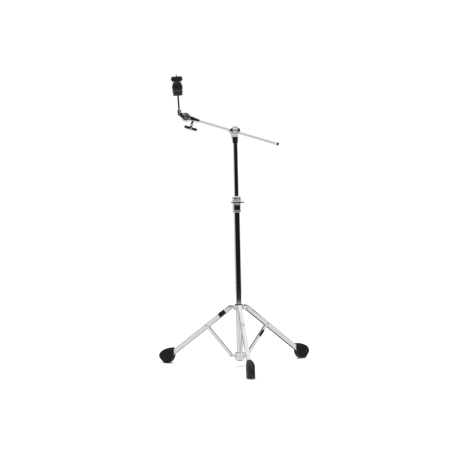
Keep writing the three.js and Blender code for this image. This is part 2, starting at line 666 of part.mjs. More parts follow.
// The lock's bolt stops just short of the tube, and ends outside in a square for a drum key.
const lockBoltSeat = lockBossEnd + GAP;
const key = LOCK_BOLT_RADIUS;
const lockBolt = join(
  rod(LOCK_BOLT_RADIUS, bushingBore + GAP, lockBoltSeat + LAP, FINE_SIDES),
  rod(LOCK_BOLT_FLANGE_RADIUS, lockBoltSeat, lockBoltSeat + LOCK_BOLT_FLANGE, FINE_SIDES),
  block(-key, key, -key, key, lockBoltSeat + LAP, lockBossEnd + LOCK_KEY_LENGTH),
);
const lockBoltInPlace = alongX(lockBolt).translate(0, 0, lockBoltHeight);
add(radialGroup(LOCK_BOSS_AZIMUTH), "memory_lock_bolt", lockBoltInPlace, CHROME);

// ---------------------------------------------------------------- upper tube and the tilter's fixed half

const sleeveBottom = lockTop + UPPER_TUBE_SHOWN;
const sleeveTop = sleeveBottom + TOP_SLEEVE_HEIGHT;
const upperTubeTop = sleeveBottom + TUBE_IN_TOP_SLEEVE;
const upperTubeBore = UPPER_TUBE_RADIUS - UPPER_TUBE_WALL;
const upperTubeBottom = clampTop - UPPER_TUBE_INSIDE_BASE;
const upperTube = tube(upperTubeBore, UPPER_TUBE_RADIUS, upperTubeBottom, upperTubeTop);
add(stand, "upper_tube", upperTube, CHROME);

const topSleeve = turned([
  [bushingBore, sleeveBottom],
  [bushingBore + TOP_SLEEVE_WALL_LOW, sleeveBottom],
  [bushingBore + TOP_SLEEVE_WALL_HIGH, sleeveTop - TOP_SLEEVE_BAND],
  [bushingBore + TOP_SLEEVE_WALL_HIGH, sleeveTop],
  [bushingBore, sleeveTop],
]);
add(stand, "tube_top_sleeve", topSleeve, NYLON);

const neckBottom = sleeveTop + GAP;
const neckTop = neckBottom + TILTER_NECK_HEIGHT;
const boomHeight = neckTop + HOUSING_ABOVE_NECK + CLAMP_DISC_RADIUS;
const boomBehind = TILTER_NECK_RADIUS + BOOM_RADIUS + BOOM_CLEAR_OF_NECK;
const eyeShankHole = EYE_SHANK_RADIUS + GAP;

const neck = turned([
  [0, neckBottom],
  [bushingBore + TILTER_NECK_FOOT, neckBottom],
  [TILTER_NECK_RADIUS, (neckBottom + neckTop) / 2],
  [TILTER_NECK_RADIUS, neckTop - EDGE],
  [TILTER_NECK_RADIUS - EDGE, neckTop],
  [0, neckTop],
]);
const spigot = rod(upperTubeBore - GAP, neckBottom - TILTER_SPIGOT_LENGTH, neckBottom + LAP);
const housing = turned([
  [0, -HOUSING_BACK],
  [HOUSING_RADIUS - EDGE, -HOUSING_BACK],
  [HOUSING_RADIUS, EDGE - HOUSING_BACK],
  [HOUSING_RADIUS, HOUSING_FRONT - HOUSING_ROUND],
  [HOUSING_RADIUS - HOUSING_ROUND * 0.3, HOUSING_FRONT - HOUSING_ROUND * 0.3],
  [HOUSING_RADIUS - HOUSING_ROUND, HOUSING_FRONT],
  [0, HOUSING_FRONT],
]);
const headSeat = HOUSING_FRONT - HOUSING_RECESS;
const shankHole = alongY(rod(eyeShankHole, -2 * HOUSING_FRONT, 2 * HOUSING_FRONT, FINE_SIDES));
const headRecess = alongY(rod(EYE_HEAD_RADIUS + 2 * GAP, -2 * HOUSING_FRONT, -headSeat));
const tilterBase = cut(
  join(neck, spigot, alongY(housing).rotateZ(Math.PI).translate(0, 0, boomHeight)),
  shankHole.translate(0, 0, boomHeight),
  headRecess.translate(0, 0, boomHeight),
);
add(stand, "tilter_base", tilterBase, CHROME);

// ---------------------------------------------------------------- boom clamp

// The boom's own frame: +X runs along the boom to the cymbal, and the clamp's axis is Y.
// It is turned half round, so that the cymbal end is on the model's -X side and +Y points to the front leg.
const boom = new THREE.Group();
boom.position.set(0, boomBehind, boomHeight);
boom.rotation.set(0, degrees(-BOOM_TILT), Math.PI, "ZYX");
stand.add(boom);

const linerBore = BOOM_RADIUS + GAP;
const linerRadius = linerBore + LINER_WALL;
const eyeHole = linerRadius + GAP;
const eyeRadius = eyeHole + EYE_WALL;
const boomChannel = alongX(rod(linerBore, -2 * CLAMP_LOBE_REACH, 2 * CLAMP_LOBE_REACH, FINE_SIDES));

add(boom, "boom_liner", alongX(tube(linerBore, linerRadius, -LINER_LENGTH / 2, LINER_LENGTH / 2)), NYLON);

const nutSeat = CLAMP_CAP_BACK + GAP;
const shankEnd = nutSeat + wingHubTop + EYE_SHANK_PAST_NUT;
const headStart = boomBehind + headSeat + GAP;
const eyeBolt = cut(
  join(
    alongY(rod(eyeRadius, -EYE_HALF, EYE_HALF)),
    alongY(rod(EYE_SHANK_RADIUS, -shankEnd, headStart + LAP, FINE_SIDES)),
    alongY(rod(EYE_HEAD_RADIUS, headStart, headStart + EYE_HEAD_HEIGHT)),
  ),
  alongX(rod(eyeHole, -2 * eyeRadius, 2 * eyeRadius)),
);
add(boom, "boom_eye_bolt", eyeBolt, CHROME);

// Two halves hold the boom between them, each with a lobe round the rod on either side.
// A half runs along +Y from the split to its outer face, and its lobes end at lobeEnd.
function clampHalf(outer, lobeEnd, round) {
  const disc = turned([
    [0, CLAMP_SPLIT],
    [CLAMP_DISC_RADIUS, CLAMP_SPLIT],
    [CLAMP_DISC_RADIUS, outer - round],
    [CLAMP_DISC_RADIUS - round, outer],
    [0, outer],
  ]);
  const arms = block(
    -CLAMP_LOBE_REACH,
    CLAMP_LOBE_REACH,
    CLAMP_SPLIT,
    lobeEnd,
    -CLAMP_LOBE_HALF,
    CLAMP_LOBE_HALF,
  );
  const lobes = overlap(arms, alongY(rod(CLAMP_LOBE_REACH, CLAMP_SPLIT, lobeEnd)));
  return cut(join(alongY(disc), lobes), boomChannel, alongY(rod(eyeRadius + GAP, 0, EYE_HALF + GAP)));
}

const saddleFront = boomBehind - HOUSING_BACK - GAP;
const lobeDepth = boomBehind - TILTER_NECK_RADIUS - GAP;
const boltClearance = alongY(rod(eyeShankHole, 0, 2 * boomBehind, FINE_SIDES));
add(boom, "boom_saddle", cut(clampHalf(saddleFront, lobeDepth, EDGE), boltClearance), CHROME);
const capLobeDepth = CLAMP_CAP_BACK - CLAMP_CAP_ROUND;
const clampCap = cut(clampHalf(CLAMP_CAP_BACK, capLobeDepth, CLAMP_CAP_ROUND), boltClearance);
add(boom, "boom_clamp_cap", clampCap.rotateZ(Math.PI), CHROME);

const boomNut = alongY(wingNut(eyeShankHole).rotateX(Math.PI).rotateZ(Math.PI / 2));
add(boom, "boom_wing_nut", boomNut.translate(0, -nutSeat, 0), CHROME);

// ---------------------------------------------------------------- boom rod and the cymbal tilter's body

const socketBottom = BOOM_REACH - DRUM_RADIUS - LAP - GAP;
const rodEnd = socketBottom - SOCKET_FLOOR;
const boomRod = tube(BOOM_RADIUS - BOOM_WALL, BOOM_RADIUS, -BOOM_TAIL, rodEnd);
add(boom, "boom_rod", alongX(boomRod), CHROME);

const plugRadius = BOOM_RADIUS - BOOM_WALL - GAP;
const tailPlug = turned([
  [0, -BOOM_TAIL - END_PLUG_LENGTH],
  [BOOM_RADIUS * 0.6, -BOOM_TAIL - END_PLUG_LENGTH],
  [BOOM_RADIUS, -BOOM_TAIL - END_PLUG_LENGTH * 0.75],
  [BOOM_RADIUS, -BOOM_TAIL - GAP],
  [plugRadius, -BOOM_TAIL - GAP],
  [plugRadius, -BOOM_TAIL + END_PLUG_SPIGOT],
  [0, -BOOM_TAIL + END_PLUG_SPIGOT],
]);
add(boom, "boom_end_plug", alongX(tailPlug), NYLON);

const socketBore = BOOM_RADIUS + GAP;
const socket = turned([
  [0, SOCKET_START],
  [socketBore + SOCKET_WALL, SOCKET_START],
  [socketBore + SOCKET_WALL_AT_HOUSING, socketBottom - SOCKET_BAND],
  [socketBore + SOCKET_WALL_AT_HOUSING, socketBottom],
  [0, socketBottom],
]);
const drumBack = -DRUM_THICK;
const drumDisc = alongY(rod(DRUM_RADIUS, drumBack, -GAP / 2)).translate(BOOM_REACH, 0, 0);
const bridgeHalf = socketBore + SOCKET_WALL_AT_HOUSING - LAP;
const bridgeStart = socketBottom - BRIDGE_LENGTH;
const bridge = block(bridgeStart, BOOM_REACH, drumBack, -GAP / 2, -bridgeHalf, bridgeHalf);
const boss = rod(TILTER_BOSS_RADIUS, -TILTER_BOSS_DROP, 0, FINE_SIDES).translate(TILTER_BOLT_AT, 0, 0);
const boltSeat = rod(WING_SHANK_RADIUS + GAP, -2 * TILTER_BOSS_DROP, 0, FINE_SIDES);
const tilterBody = cut(
  join(alongX(socket), drumDisc, bridge, boss),
  alongX(rod(socketBore, 0, rodEnd + GAP)),
  boltSeat.translate(TILTER_BOLT_AT, 0, 0),
  alongY(rod(DRUM_BOLT_RADIUS + GAP, 2 * drumBack, LAP, FINE_SIDES)).translate(BOOM_REACH, 0, 0),
);
add(boom, "tilter_body", tilterBody, CHROME);

// The bolt's tip bears on the boom inside the socket.
const tilterBoltShank = TILTER_BOSS_DROP + GAP - (BOOM_RADIUS + GAP);
const tilterBolt = wingBolt(tilterBoltShank).rotateX(Math.PI);
tilterBolt.translate(TILTER_BOLT_AT, 0, -TILTER_BOSS_DROP - GAP);
add(boom, "tilter_wing_bolt", tilterBolt, CHROME);

// ---------------------------------------------------------------- tilter arm and the cymbal rod

// The arm's frame: its origin is on the tilter's axis, and +Z is up along the cymbal rod.
const boomAngle = degrees(BOOM_TILT);
const arm = new THREE.Group();
const boomRise = BOOM_REACH * Math.sin(boomAngle);
arm.position.set(-BOOM_REACH * Math.cos(boomAngle), boomBehind, boomHeight + boomRise);
arm.rotation.y = -degrees(ROD_LEAN);
stand.add(arm);

const armAngle = degrees(ARM_ANGLE - ROD_LEAN);
const rodX = -ARM_REACH * Math.cos(armAngle);
const rodFoot = ARM_REACH * Math.sin(armAngle);
const holderBore = ROD_RADIUS + GAP;

// A tapering web from the round drum to the narrower holder.
const armOutline = new THREE.Shape();
const webAngle = Math.PI - armAngle;
const spread = Math.acos((DRUM_RADIUS - ROD_HOLDER_RADIUS) / ARM_REACH);
armOutline.absarc(0, 0, DRUM_RADIUS, webAngle + spread, webAngle - spread + 2 * Math.PI);
armOutline.absarc(rodX, rodFoot, ROD_HOLDER_RADIUS, webAngle - spread, webAngle + spread);
const armPlate = slab(armOutline, DRUM_THICK - GAP / 2).translate(0, -(DRUM_THICK + GAP / 2) / 2, 0);
const holder = rod(ROD_HOLDER_RADIUS, rodFoot - ROD_HOLDER_DOWN, rodFoot + ROD_HOLDER_UP);
const drumRoom = alongY(rod(DRUM_RADIUS + GAP, -GAP / 2, 2 * DRUM_THICK));
const clearOfDrum = cut(holder.translate(rodX, 0, 0), drumRoom);
const recess = cut(
  alongY(rod(DRUM_RECESS_RADIUS, -2 * DRUM_THICK, -DRUM_THICK + DRUM_RECESS_DEPTH)),
  alongY(rod(DRUM_BOLT_HEAD + DRUM_BOLT_LAND, -2 * DRUM_THICK, 0)),
);
const rodSeat = -ROD_HOLDER_DOWN + ROD_HOLDER_FLOOR;
const rodHole = rod(holderBore, rodFoot + rodSeat, rodFoot + 2 * ROD_HOLDER_UP, FINE_SIDES);
const setScrewHeight = rodFoot + ROD_HOLDER_UP - SET_SCREW_BELOW_TOP;
const setScrewHole = alongX(rod(SCREW_RADIUS + GAP, rodX, rodX + 2 * ROD_HOLDER_RADIUS, FINE_SIDES));
const tilterArm = cut(
  join(armPlate, clearOfDrum),
  recess,
  rodHole.translate(rodX, 0, 0),
  setScrewHole.translate(0, 0, setScrewHeight),
  alongY(rod(DRUM_BOLT_RADIUS + GAP, -2 * DRUM_THICK, LAP, FINE_SIDES)),
);
add(arm, "tilter_arm", tilterArm, CHROME);

const screwTip = rodX + ROD_RADIUS + GAP;
const screwSeat = rodX + ROD_HOLDER_RADIUS + GAP;
const setScrew = join(
  rod(SCREW_RADIUS, screwTip, screwSeat + LAP, FINE_SIDES),
  rod(SCREW_HEAD_RADIUS * SET_SCREW_HEAD, screwSeat, screwSeat + SCREW_HEAD_HEIGHT, FINE_SIDES),
);
add(arm, "rod_set_screw", alongX(setScrew).translate(0, 0, setScrewHeight), CHROME);

const boltFace = DRUM_THICK + GAP;
const boltEnd = boltFace + DRUM_NUT_HEIGHT + DRUM_BOLT_PAST_NUT;
const pivotBolt = join(
  alongY(rod(DRUM_BOLT_RADIUS, -boltFace - LAP, boltEnd, FINE_SIDES)),
  alongY(rod(DRUM_BOLT_HEAD, -boltFace - DRUM_BOLT_HEAD_HEIGHT, -boltFace, 6)),
);
add(arm, "tilter_pivot_bolt", pivotBolt, CHROME);
const lockNut = cut(
  rod(DRUM_BOLT_HEAD, boltFace, boltFace + DRUM_NUT_HEIGHT, 6),
  rod(DRUM_BOLT_RADIUS + GAP, DRUM_THICK, 2 * DRUM_THICK, FINE_SIDES),
);
add(arm, "tilter_lock_nut", alongY(lockNut), CHROME);

// ---------------------------------------------------------------- cymbal rod, seat, felts and nut

const stack = new THREE.Group();
stack.position.set(rodX, 0, rodFoot);
arm.add(stack);

const seatTop = SEAT_AT + SEAT_HEIGHT;
const lowerFelt = seatTop + GAP;
const middleFelt = lowerFelt + LOWER_FELT.height + GAP;
const upperFelt = middleFelt + MIDDLE_FELT.height + GAP;
const nutBottom = upperFelt + UPPER_FELT.height + GAP;
const barBottom = nutBottom + NUT_STEM_HEIGHT;
const barTop = barBottom + NUT_BAR_HEIGHT;
const rodTop = barTop + ROD_ABOVE_NUT;

const cymbalRod = turned([
  [0, rodSeat + GAP],
  [ROD_RADIUS, rodSeat + GAP],
  [ROD_RADIUS, rodTop - ROD_TIP_LENGTH],
  [ROD_TIP_RADIUS, rodTop - ROD_TIP_LENGTH + LAP],
  [ROD_TIP_RADIUS, rodTop],
  [0, rodTop],
]);
add(stack, "cymbal_rod", cymbalRod, CHROME);

const seat = turned([
  [holderBore, SEAT_AT + SEAT_HOLLOW],
  [SEAT_RIM_RADIUS - SEAT_LIP - SEAT_HOLLOW, SEAT_AT + SEAT_HOLLOW],
  [SEAT_RIM_RADIUS - SEAT_LIP, SEAT_AT],
  [SEAT_RIM_RADIUS, SEAT_AT],
  [SEAT_TOP_RADIUS, SEAT_AT + SEAT_FLARE],
  [SEAT_TOP_RADIUS, seatTop],
  [holderBore, seatTop],
]);
add(stack, "cymbal_seat", seat, NYLON);

const sleeveRadius = holderBore + ROD_SLEEVE_WALL;
const rodSleeve = tube(holderBore, sleeveRadius, seatTop + GAP, nutBottom - GAP, FINE_SIDES);
add(stack, "rod_sleeve", rodSleeve, NYLON);

function felt({ radius, height, worn }, low) {
  const hole = sleeveRadius + GAP;
  return turned([
    [hole, low],
    [radius - worn, low],
    [radius, low + worn],
    [radius, low + height - worn],
    [radius - worn, low + height],
    [hole, low + height],
  ]);
}
add(stack, "lower_felt", felt(LOWER_FELT, lowerFelt), FELT_GREY);
add(stack, "middle_felt", felt(MIDDLE_FELT, middleFelt), FELT_BLACK);
add(stack, "upper_felt", felt(UPPER_FELT, upperFelt), FELT_GREY);

// The nut's cross bar holds a release button in either end.
const barOutline = new THREE.Shape();
const end = NUT_BAR_HALF;
const high = NUT_BAR_TOP_CORNER;
const low = NUT_BAR_LOW_CORNER;
barOutline.moveTo(-end + high, barTop);
barOutline.quadraticCurveTo(-end, barTop, -end, barTop - high);
barOutline.lineTo(-end, barBottom + low);
barOutline.quadraticCurveTo(-end, barBottom, -end + low, barBottom);
barOutline.lineTo(end - low, barBottom);
barOutline.quadraticCurveTo(end, barBottom, end, barBottom + low);
barOutline.lineTo(end, barTop - high);
barOutline.quadraticCurveTo(end, barTop, end - high, barTop);
const buttonHeight = (barBottom + barTop) / 2;
const buttonTip = NUT_BAR_HALF + NUT_BUTTON_OUT;
const buttonRoot = NUT_BAR_HALF - NUT_BUTTON_IN;
const pocketFloor = buttonRoot - NUT_BUTTON_TRAVEL - GAP;
const pocket = alongX(rod(NUT_BUTTON_RADIUS + GAP, pocketFloor, 2 * NUT_BAR_HALF, FINE_SIDES));
pocket.translate(0, 0, buttonHeight);
const quickNut = cut(
  join(slab(barOutline, NUT_BAR_DEPTH), rod(NUT_STEM_RADIUS, nutBottom, barBottom + LAP)),
  rod(holderBore, nutBottom - LAP, rodTop, FINE_SIDES),
  pocket,
  pocket.clone().rotateZ(Math.PI),
);
add(stack, "quick_nut", quickNut, NYLON);

const button = turned(
  [
    [0, buttonRoot],
    [NUT_BUTTON_RADIUS, buttonRoot],
    [NUT_BUTTON_RADIUS, buttonTip - LAP],
    [NUT_BUTTON_RADIUS - LAP, buttonTip],
    [0, buttonTip],
  ],
  FINE_SIDES,
);
const rightButton = alongX(button).translate(0, 0, buttonHeight);
add(stack, "nut_button_right", rightButton, NYLON);
add(stack, "nut_button_left", rightButton.clone().rotateZ(Math.PI), NYLON);

// ---------------------------------------------------------------- the whole stand

const extent = new THREE.Box3().setFromObject(stand);
const middle = extent.getCenter(new THREE.Vector3());
stand.position.set(-middle.x, -middle.y, -extent.min.z);
const cymbalBoomStand = new THREE.Group();
cymbalBoomStand.add(stand);

export default cymbalBoomStand;
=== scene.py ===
import json
import math

import bpy
from mathutils import Matrix, Vector


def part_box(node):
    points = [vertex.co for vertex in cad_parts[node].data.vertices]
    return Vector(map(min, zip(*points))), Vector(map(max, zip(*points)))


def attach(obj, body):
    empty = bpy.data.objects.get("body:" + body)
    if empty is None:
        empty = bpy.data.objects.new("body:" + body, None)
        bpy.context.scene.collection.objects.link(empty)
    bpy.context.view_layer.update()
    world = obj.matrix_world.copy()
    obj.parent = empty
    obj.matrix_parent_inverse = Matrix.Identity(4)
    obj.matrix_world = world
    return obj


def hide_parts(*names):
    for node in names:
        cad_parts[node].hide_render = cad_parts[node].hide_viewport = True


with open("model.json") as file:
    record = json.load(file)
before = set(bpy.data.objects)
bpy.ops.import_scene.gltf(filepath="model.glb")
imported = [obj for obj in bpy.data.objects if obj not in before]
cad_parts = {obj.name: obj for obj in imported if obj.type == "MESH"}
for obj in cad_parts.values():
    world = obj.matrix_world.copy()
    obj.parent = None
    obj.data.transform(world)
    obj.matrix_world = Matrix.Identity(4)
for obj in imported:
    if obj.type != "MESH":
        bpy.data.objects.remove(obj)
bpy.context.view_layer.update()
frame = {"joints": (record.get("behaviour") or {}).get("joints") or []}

# ------------------------------------------------------------------ base tube and its end cap
# The lower column is 25.4 mm drawn steel tube, polished and chrome plated all over.
# Its sawn ends are lightly rounded. A moulded black cap is pushed into the lower end.

MILLIMETRES = Matrix.Scale(0.001, 4)


def metres(x, y, z):
    return Vector((x, y, z)) * 0.001


def only(piece):
    """Selects one object and nothing else."""
    bpy.ops.object.select_all(action="DESELECT")
    piece.select_set(True)
    bpy.context.view_layer.objects.active = piece


def named(name):
    """Names the primitive that was just added."""
    piece = bpy.context.object
    piece.name = name
    only(piece)
    return piece


def edit(piece, kind="VERT"):
    only(piece)
    bpy.ops.object.mode_set(mode="EDIT")
    bpy.ops.mesh.select_mode(type=kind)
    bpy.ops.mesh.select_all(action="SELECT")


def done():
    bpy.ops.object.mode_set(mode="OBJECT")


def pick(piece, wanted, kind="vertices"):
    """In edit mode, selects only the vertices, or polygons, for which wanted(item) holds."""
    bpy.ops.mesh.select_all(action="DESELECT")
    done()
    for item in getattr(piece.data, kind):
        item.select = bool(wanted(item))
    bpy.ops.object.mode_set(mode="EDIT")


def turned(name, outline, sides=72):
    """Spins an outline of (radius, height) points once round Z. A ring's outline ends where it starts."""
    bpy.ops.object.select_all(action="DESELECT")
    bpy.ops.mesh.primitive_plane_add(size=1, location=(0, 0, 0))
    piece = named(name)
    edit(piece)
    bpy.ops.mesh.merge(type="CENTER")
    here = Vector((0, 0, 0))
    for index, (radius, height) in enumerate(outline):
        there = Vector((radius, 0, height))
        if index == 0:
            bpy.ops.transform.translate(value=there - here)
        else:
            bpy.ops.mesh.extrude_region_move(TRANSFORM_OT_translate={"value": there - here})
        here = there
    bpy.ops.mesh.select_all(action="SELECT")
    bpy.ops.mesh.spin(steps=sides, angle=2 * math.pi, center=(0, 0, 0), axis=(0, 0, 1))
    bpy.ops.mesh.select_all(action="SELECT")
    bpy.ops.mesh.remove_doubles(threshold=0.0005)
    bpy.ops.mesh.normals_make_consistent(inside=False)
    done()
    return piece


def tube(name, bore, radius, low, high, sides=72):
    """A plain tube along Z."""
    return turned(name, [(bore, low), (radius, low), (radius, high), (bore, high), (bore, low)], sides)


def apply(piece, modifier):
    only(piece)
    bpy.ops.object.modifier_apply(modifier=modifier.name)


def soften(piece, width, segments=3, angle=32):
    """Rounds every edge that is sharper than the angle, in degrees."""
    bevel = piece.modifiers.new("rounding", "BEVEL")
    bevel.width = width
    bevel.segments = segments
    bevel.limit_method = "ANGLE"
    bevel.angle_limit = math.radians(angle)
    apply(piece, bevel)
    return piece


def turn(piece, angle, axis):
    """Turns a piece about one of its own axes, in degrees."""
    only(piece)
    piece.matrix_world = Matrix.Rotation(math.radians(angle), 4, axis)
    bpy.ops.object.transform_apply(location=True, rotation=True, scale=True)
    return piece


def move(piece, x, y, z):
    only(piece)
    piece.matrix_world = Matrix.Translation((x, y, z))
    bpy.ops.object.transform_apply(location=True, rotation=True, scale=True)
    return piece


def install(piece, place, finish, body, *nodes):
    """Brings a piece from its own millimetres to its place on the stand, and hands it to its body."""
    only(piece)
    piece.matrix_world = place @ MILLIMETRES
    bpy.ops.object.transform_apply(location=True, rotation=True, scale=True)
    bpy.ops.object.shade_smooth_by_angle(angle=math.radians(32))
    weighted = piece.modifiers.new("flat_faces", "WEIGHTED_NORMAL")
    weighted.keep_sharp = True
    apply(piece, weighted)
    piece.data.materials.clear()
    piece.data.materials.append(finish.material)
    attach(piece, body)
    if nodes:
        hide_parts(*nodes)
    return piece


class Value:
    """One output of a shader node. Arithmetic on it adds Math nodes."""

    def __init__(self, tree, socket):
        self.tree = tree
        self.socket = socket

    def maths(self, operation, first, second):
        node = self.tree.nodes.new("ShaderNodeMath")
        node.operation = operation
        for entry, given in zip(node.inputs, (first, second)):
            connect(self.tree, entry, given)
        return Value(self.tree, node.outputs[0])

    def __add__(self, other):
        return self.maths("ADD", self, other)

    def __sub__(self, other):
        return self.maths("SUBTRACT", self, other)

    def __rsub__(self, other):
        return self.maths("SUBTRACT", other, self)

    def __mul__(self, other):
        return self.maths("MULTIPLY", self, other)

    __radd__ = __add__
    __rmul__ = __mul__


def connect(tree, entry, given):
    if isinstance(given, Value):
        tree.links.new(given.socket, entry)
    else:
        entry.default_value = given


class Nodes:
    """A node tree that nodes are added to."""

    def __init__(self, tree):
        self.tree = tree

    def add(self, kind, settings=None, inputs=None, output=0):
        """Adds a node: its settings are made first, then its sockets are set or linked."""
        node = self.tree.nodes.new("ShaderNode" + kind)
        for key, value in (settings or {}).items():
            setattr(node, key, value)
        for key, value in (inputs or {}).items():
            connect(self.tree, node.inputs[key], value)
        return Value(self.tree, node.outputs[output])


class Finish(Nodes):
    """A surface finish: one material, and the record's slot that it belongs to."""

    def __init__(self, name, slot, **constants):
        self.material = bpy.data.materials.new(name)
        self.material.use_nodes = True
        self.slot = slot
        super().__init__(self.material.node_tree)
        self.shader = self.tree.nodes["Principled BSDF"]
        for key, value in constants.items():
            self.shader.inputs[key.replace("_", " ")].default_value = value
        self.place = self.add("TexCoord", output="Object")

    def noise(self, scale, detail=2.0, stretch=None):
        place = self.place
        if stretch:
            place = self.add("Mapping", inputs={"Vector": place, "Scale": stretch})
        return self.add("TexNoise", inputs={"Vector": place, "Scale": scale, "Detail": detail})

    def blend(self, factor, first, second):
        inputs = {0: factor, 6: (*first, 1), 7: (*second, 1)}
        return self.add("Mix", {"data_type": "RGBA"}, inputs, output=2)

    def relief(self, height, strength, distance):
        return self.add("Bump", inputs={"Height": height, "Strength": strength, "Distance": distance})

    def use(self, **links):
        for key, value in links.items():
            connect(self.tree, self.shader.inputs[key.replace("_", " ")], value)
        return self


def plated(name, slot, roughest, grain, smoothest=0.005):
    """Chrome plate: a cloudy change of tone, faint handling haze, and the grain of the polishing under it."""
    finish = Finish(name, slot, Metallic=1.0)
    cloud = finish.noise(14, 3)
    haze = finish.noise(55, 4)
    lines = finish.noise(grain, 1, stretch=(1, 1, 0.04))
    tone = finish.blend(cloud, (0.83, 0.85, 0.875), (0.90, 0.915, 0.935))
    return finish.use(
        Base_Color=tone,
        Roughness=haze * roughest + lines * 0.01 + smoothest,
        Normal=finish.relief(lines, 0.02, 0.0002),
    )


def moulded(name, slot, dark, light, rough, grain):
    """Moulded black plastic: a slightly uneven black with a fine moulded texture."""
    finish = Finish(name, slot, IOR=1.48, Specular_IOR_Level=0.35)
    patches = finish.noise(60, 3)
    texture = finish.noise(grain, 2)
    return finish.use(
        Base_Color=finish.blend(patches, dark, light),
        Roughness=patches * 0.12 + rough,
        Normal=finish.relief(texture, 0.12, 0.0002),
    )


tube_chrome = plated("chrome_on_tube", "chrome_tube", 0.06, 900)
black_nylon = moulded("black_nylon", "nylon", (0.006, 0.0065, 0.0075), (0.012, 0.0125, 0.014), 0.30, 2600)

joint = {entry["name"]: entry for entry in frame["joints"]}


def middle_of(node):
    low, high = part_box(node)
    return (Vector(low) + Vector(high)) / 2


def level(node, end):
    """The height of a node's lower (0) or upper (1) end, in millimetres above the floor."""
    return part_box(node)[end][2] * 1000


column_axis = middle_of("base_tube")
column = Matrix.Translation((column_axis.x, column_axis.y, 0))
UP = Vector((0, 0, 1))

BASE_TUBE_RADIUS = 12.7
BASE_TUBE_BORE = 11.225
base_low, base_high = level("base_tube", 0), level("base_tube", 1)
base_tube = tube("column_base_tube", BASE_TUBE_BORE, BASE_TUBE_RADIUS, base_low, base_high, 96)
install(soften(base_tube, 0.35), column, tube_chrome, "base", "base_tube")

cap_low, cap_high = level("base_end_cap", 0), level("base_end_cap", 1)
end_cap = turned(
    "column_end_cap",
    [
        (0, cap_low),
        (5, cap_low),
        (BASE_TUBE_RADIUS * 0.8, cap_low + 0.7),
        (BASE_TUBE_RADIUS, cap_low + 2.3),
        (BASE_TUBE_RADIUS, base_low - 0.3),
        (BASE_TUBE_BORE - 0.3, base_low - 0.3),
        (BASE_TUBE_BORE - 0.3, cap_high),
        (0, cap_high),
    ],
)
install(soften(end_cap, 0.5), column, black_nylon, "base", "base_end_cap")

# ------------------------------------------------------------------ lower collar
# The fixed collar at the foot of the column is a zinc casting, polished and plated. Three ears stand out
# of it for the braces, and three socket-head screws pinch it on the tube.

cast_chrome = plated("chrome_on_castings", "chrome_casting", 0.12, 350)


def ear_bar(name, length, radius, width, sides=48):
    """A round-ended bar along X: a cylinder that lies across it, with one half pulled out to the length."""
    bpy.ops.object.select_all(action="DESELECT")
    bpy.ops.mesh.primitive_cylinder_add(vertices=sides, radius=radius, depth=width, location=(0, 0, 0))
    piece = named(name)
    turn(piece, 180 / sides, "Z")
    turn(piece, 90, "X")
    edit(piece)
    pick(piece, lambda vertex: vertex.co.x > 0)
    bpy.ops.transform.translate(value=(length, 0, 0))
    done()
    return piece


def block(name, low, high):
    """A cube stretched between two corners."""
    bpy.ops.object.select_all(action="DESELECT")
    centre = [(a + b) / 2 for a, b in zip(low, high)]
    bpy.ops.mesh.primitive_cube_add(size=1, location=centre, scale=[b - a for a, b in zip(low, high)])
    piece = named(name)
    bpy.ops.object.transform_apply(location=True, rotation=True, scale=True)
    return piece


def pin(name, radius, low, high, sides=32):
    """A plain cylinder along Z."""
    bpy.ops.object.select_all(action="DESELECT")
    bpy.ops.mesh.primitive_cylinder_add(
        vertices=sides, radius=radius, depth=high - low, location=(0, 0, (low + high) / 2)
    )
    piece = named(name)
    bpy.ops.object.transform_apply(location=True, rotation=True, scale=True)
    return piece


def fuse(piece, other, operation="UNION"):
    """Joins another piece to this one, or cuts it away, and removes the other."""
    boolean = piece.modifiers.new("joint", "BOOLEAN")
    boolean.operation = operation
    boolean.solver = "EXACT"
    boolean.object = other
    apply(piece, boolean)
    bpy.data.objects.remove(other, do_unlink=True)
    return piece


def carve(piece, other):
    return fuse(piece, other, "DIFFERENCE")


PIVOT_OUT = 37
COLLAR_RADIUS = 21.5
EAR_WIDTH = 5.8
EAR_RADIUS = 5.3
RIVET_RADIUS = 2.4
SCREW_RADIUS = 2.4
SCREW_HEAD_RADIUS = 4.5
SCREW_HEAD_HEIGHT = 3
HAIR = 0.3
LEG_AZIMUTHS = (0, 120, 240)
SCREW_TURN = 60
collar_low, collar_high = level("lower_leg_collar", 0), level("lower_leg_collar", 1)
screw_height = (collar_low + collar_high) / 2
ear_height = joint["brace_1_fold"]["pos_m"][2] * 1000


def collar_ring(name, bore, low, high):
    """A collar's body, with a shallow groove turned round its middle."""
    waist = (low + high) / 2
    return turned(
        name,
        [
            (bore, low),
            (COLLAR_RADIUS - 1.5, low),
            (COLLAR_RADIUS, low + 1.5),
            (COLLAR_RADIUS, waist - 3),
            (COLLAR_RADIUS - 0.6, waist - 2.4),
            (COLLAR_RADIUS - 0.6, waist + 2.4),
            (COLLAR_RADIUS, waist + 3),
            (COLLAR_RADIUS, high - 1.5),
            (COLLAR_RADIUS - 1.5, high),
            (bore, high),
            (bore, low),
        ],
        96,
    )


def radial(piece, azimuth, height):
    """Lays a piece made along Z out along a radius of the column, at an azimuth from the front leg."""
    turn(piece, 90, "Y")
    move(piece, 0, 0, height)
    return turn(piece, azimuth - 90, "Z")


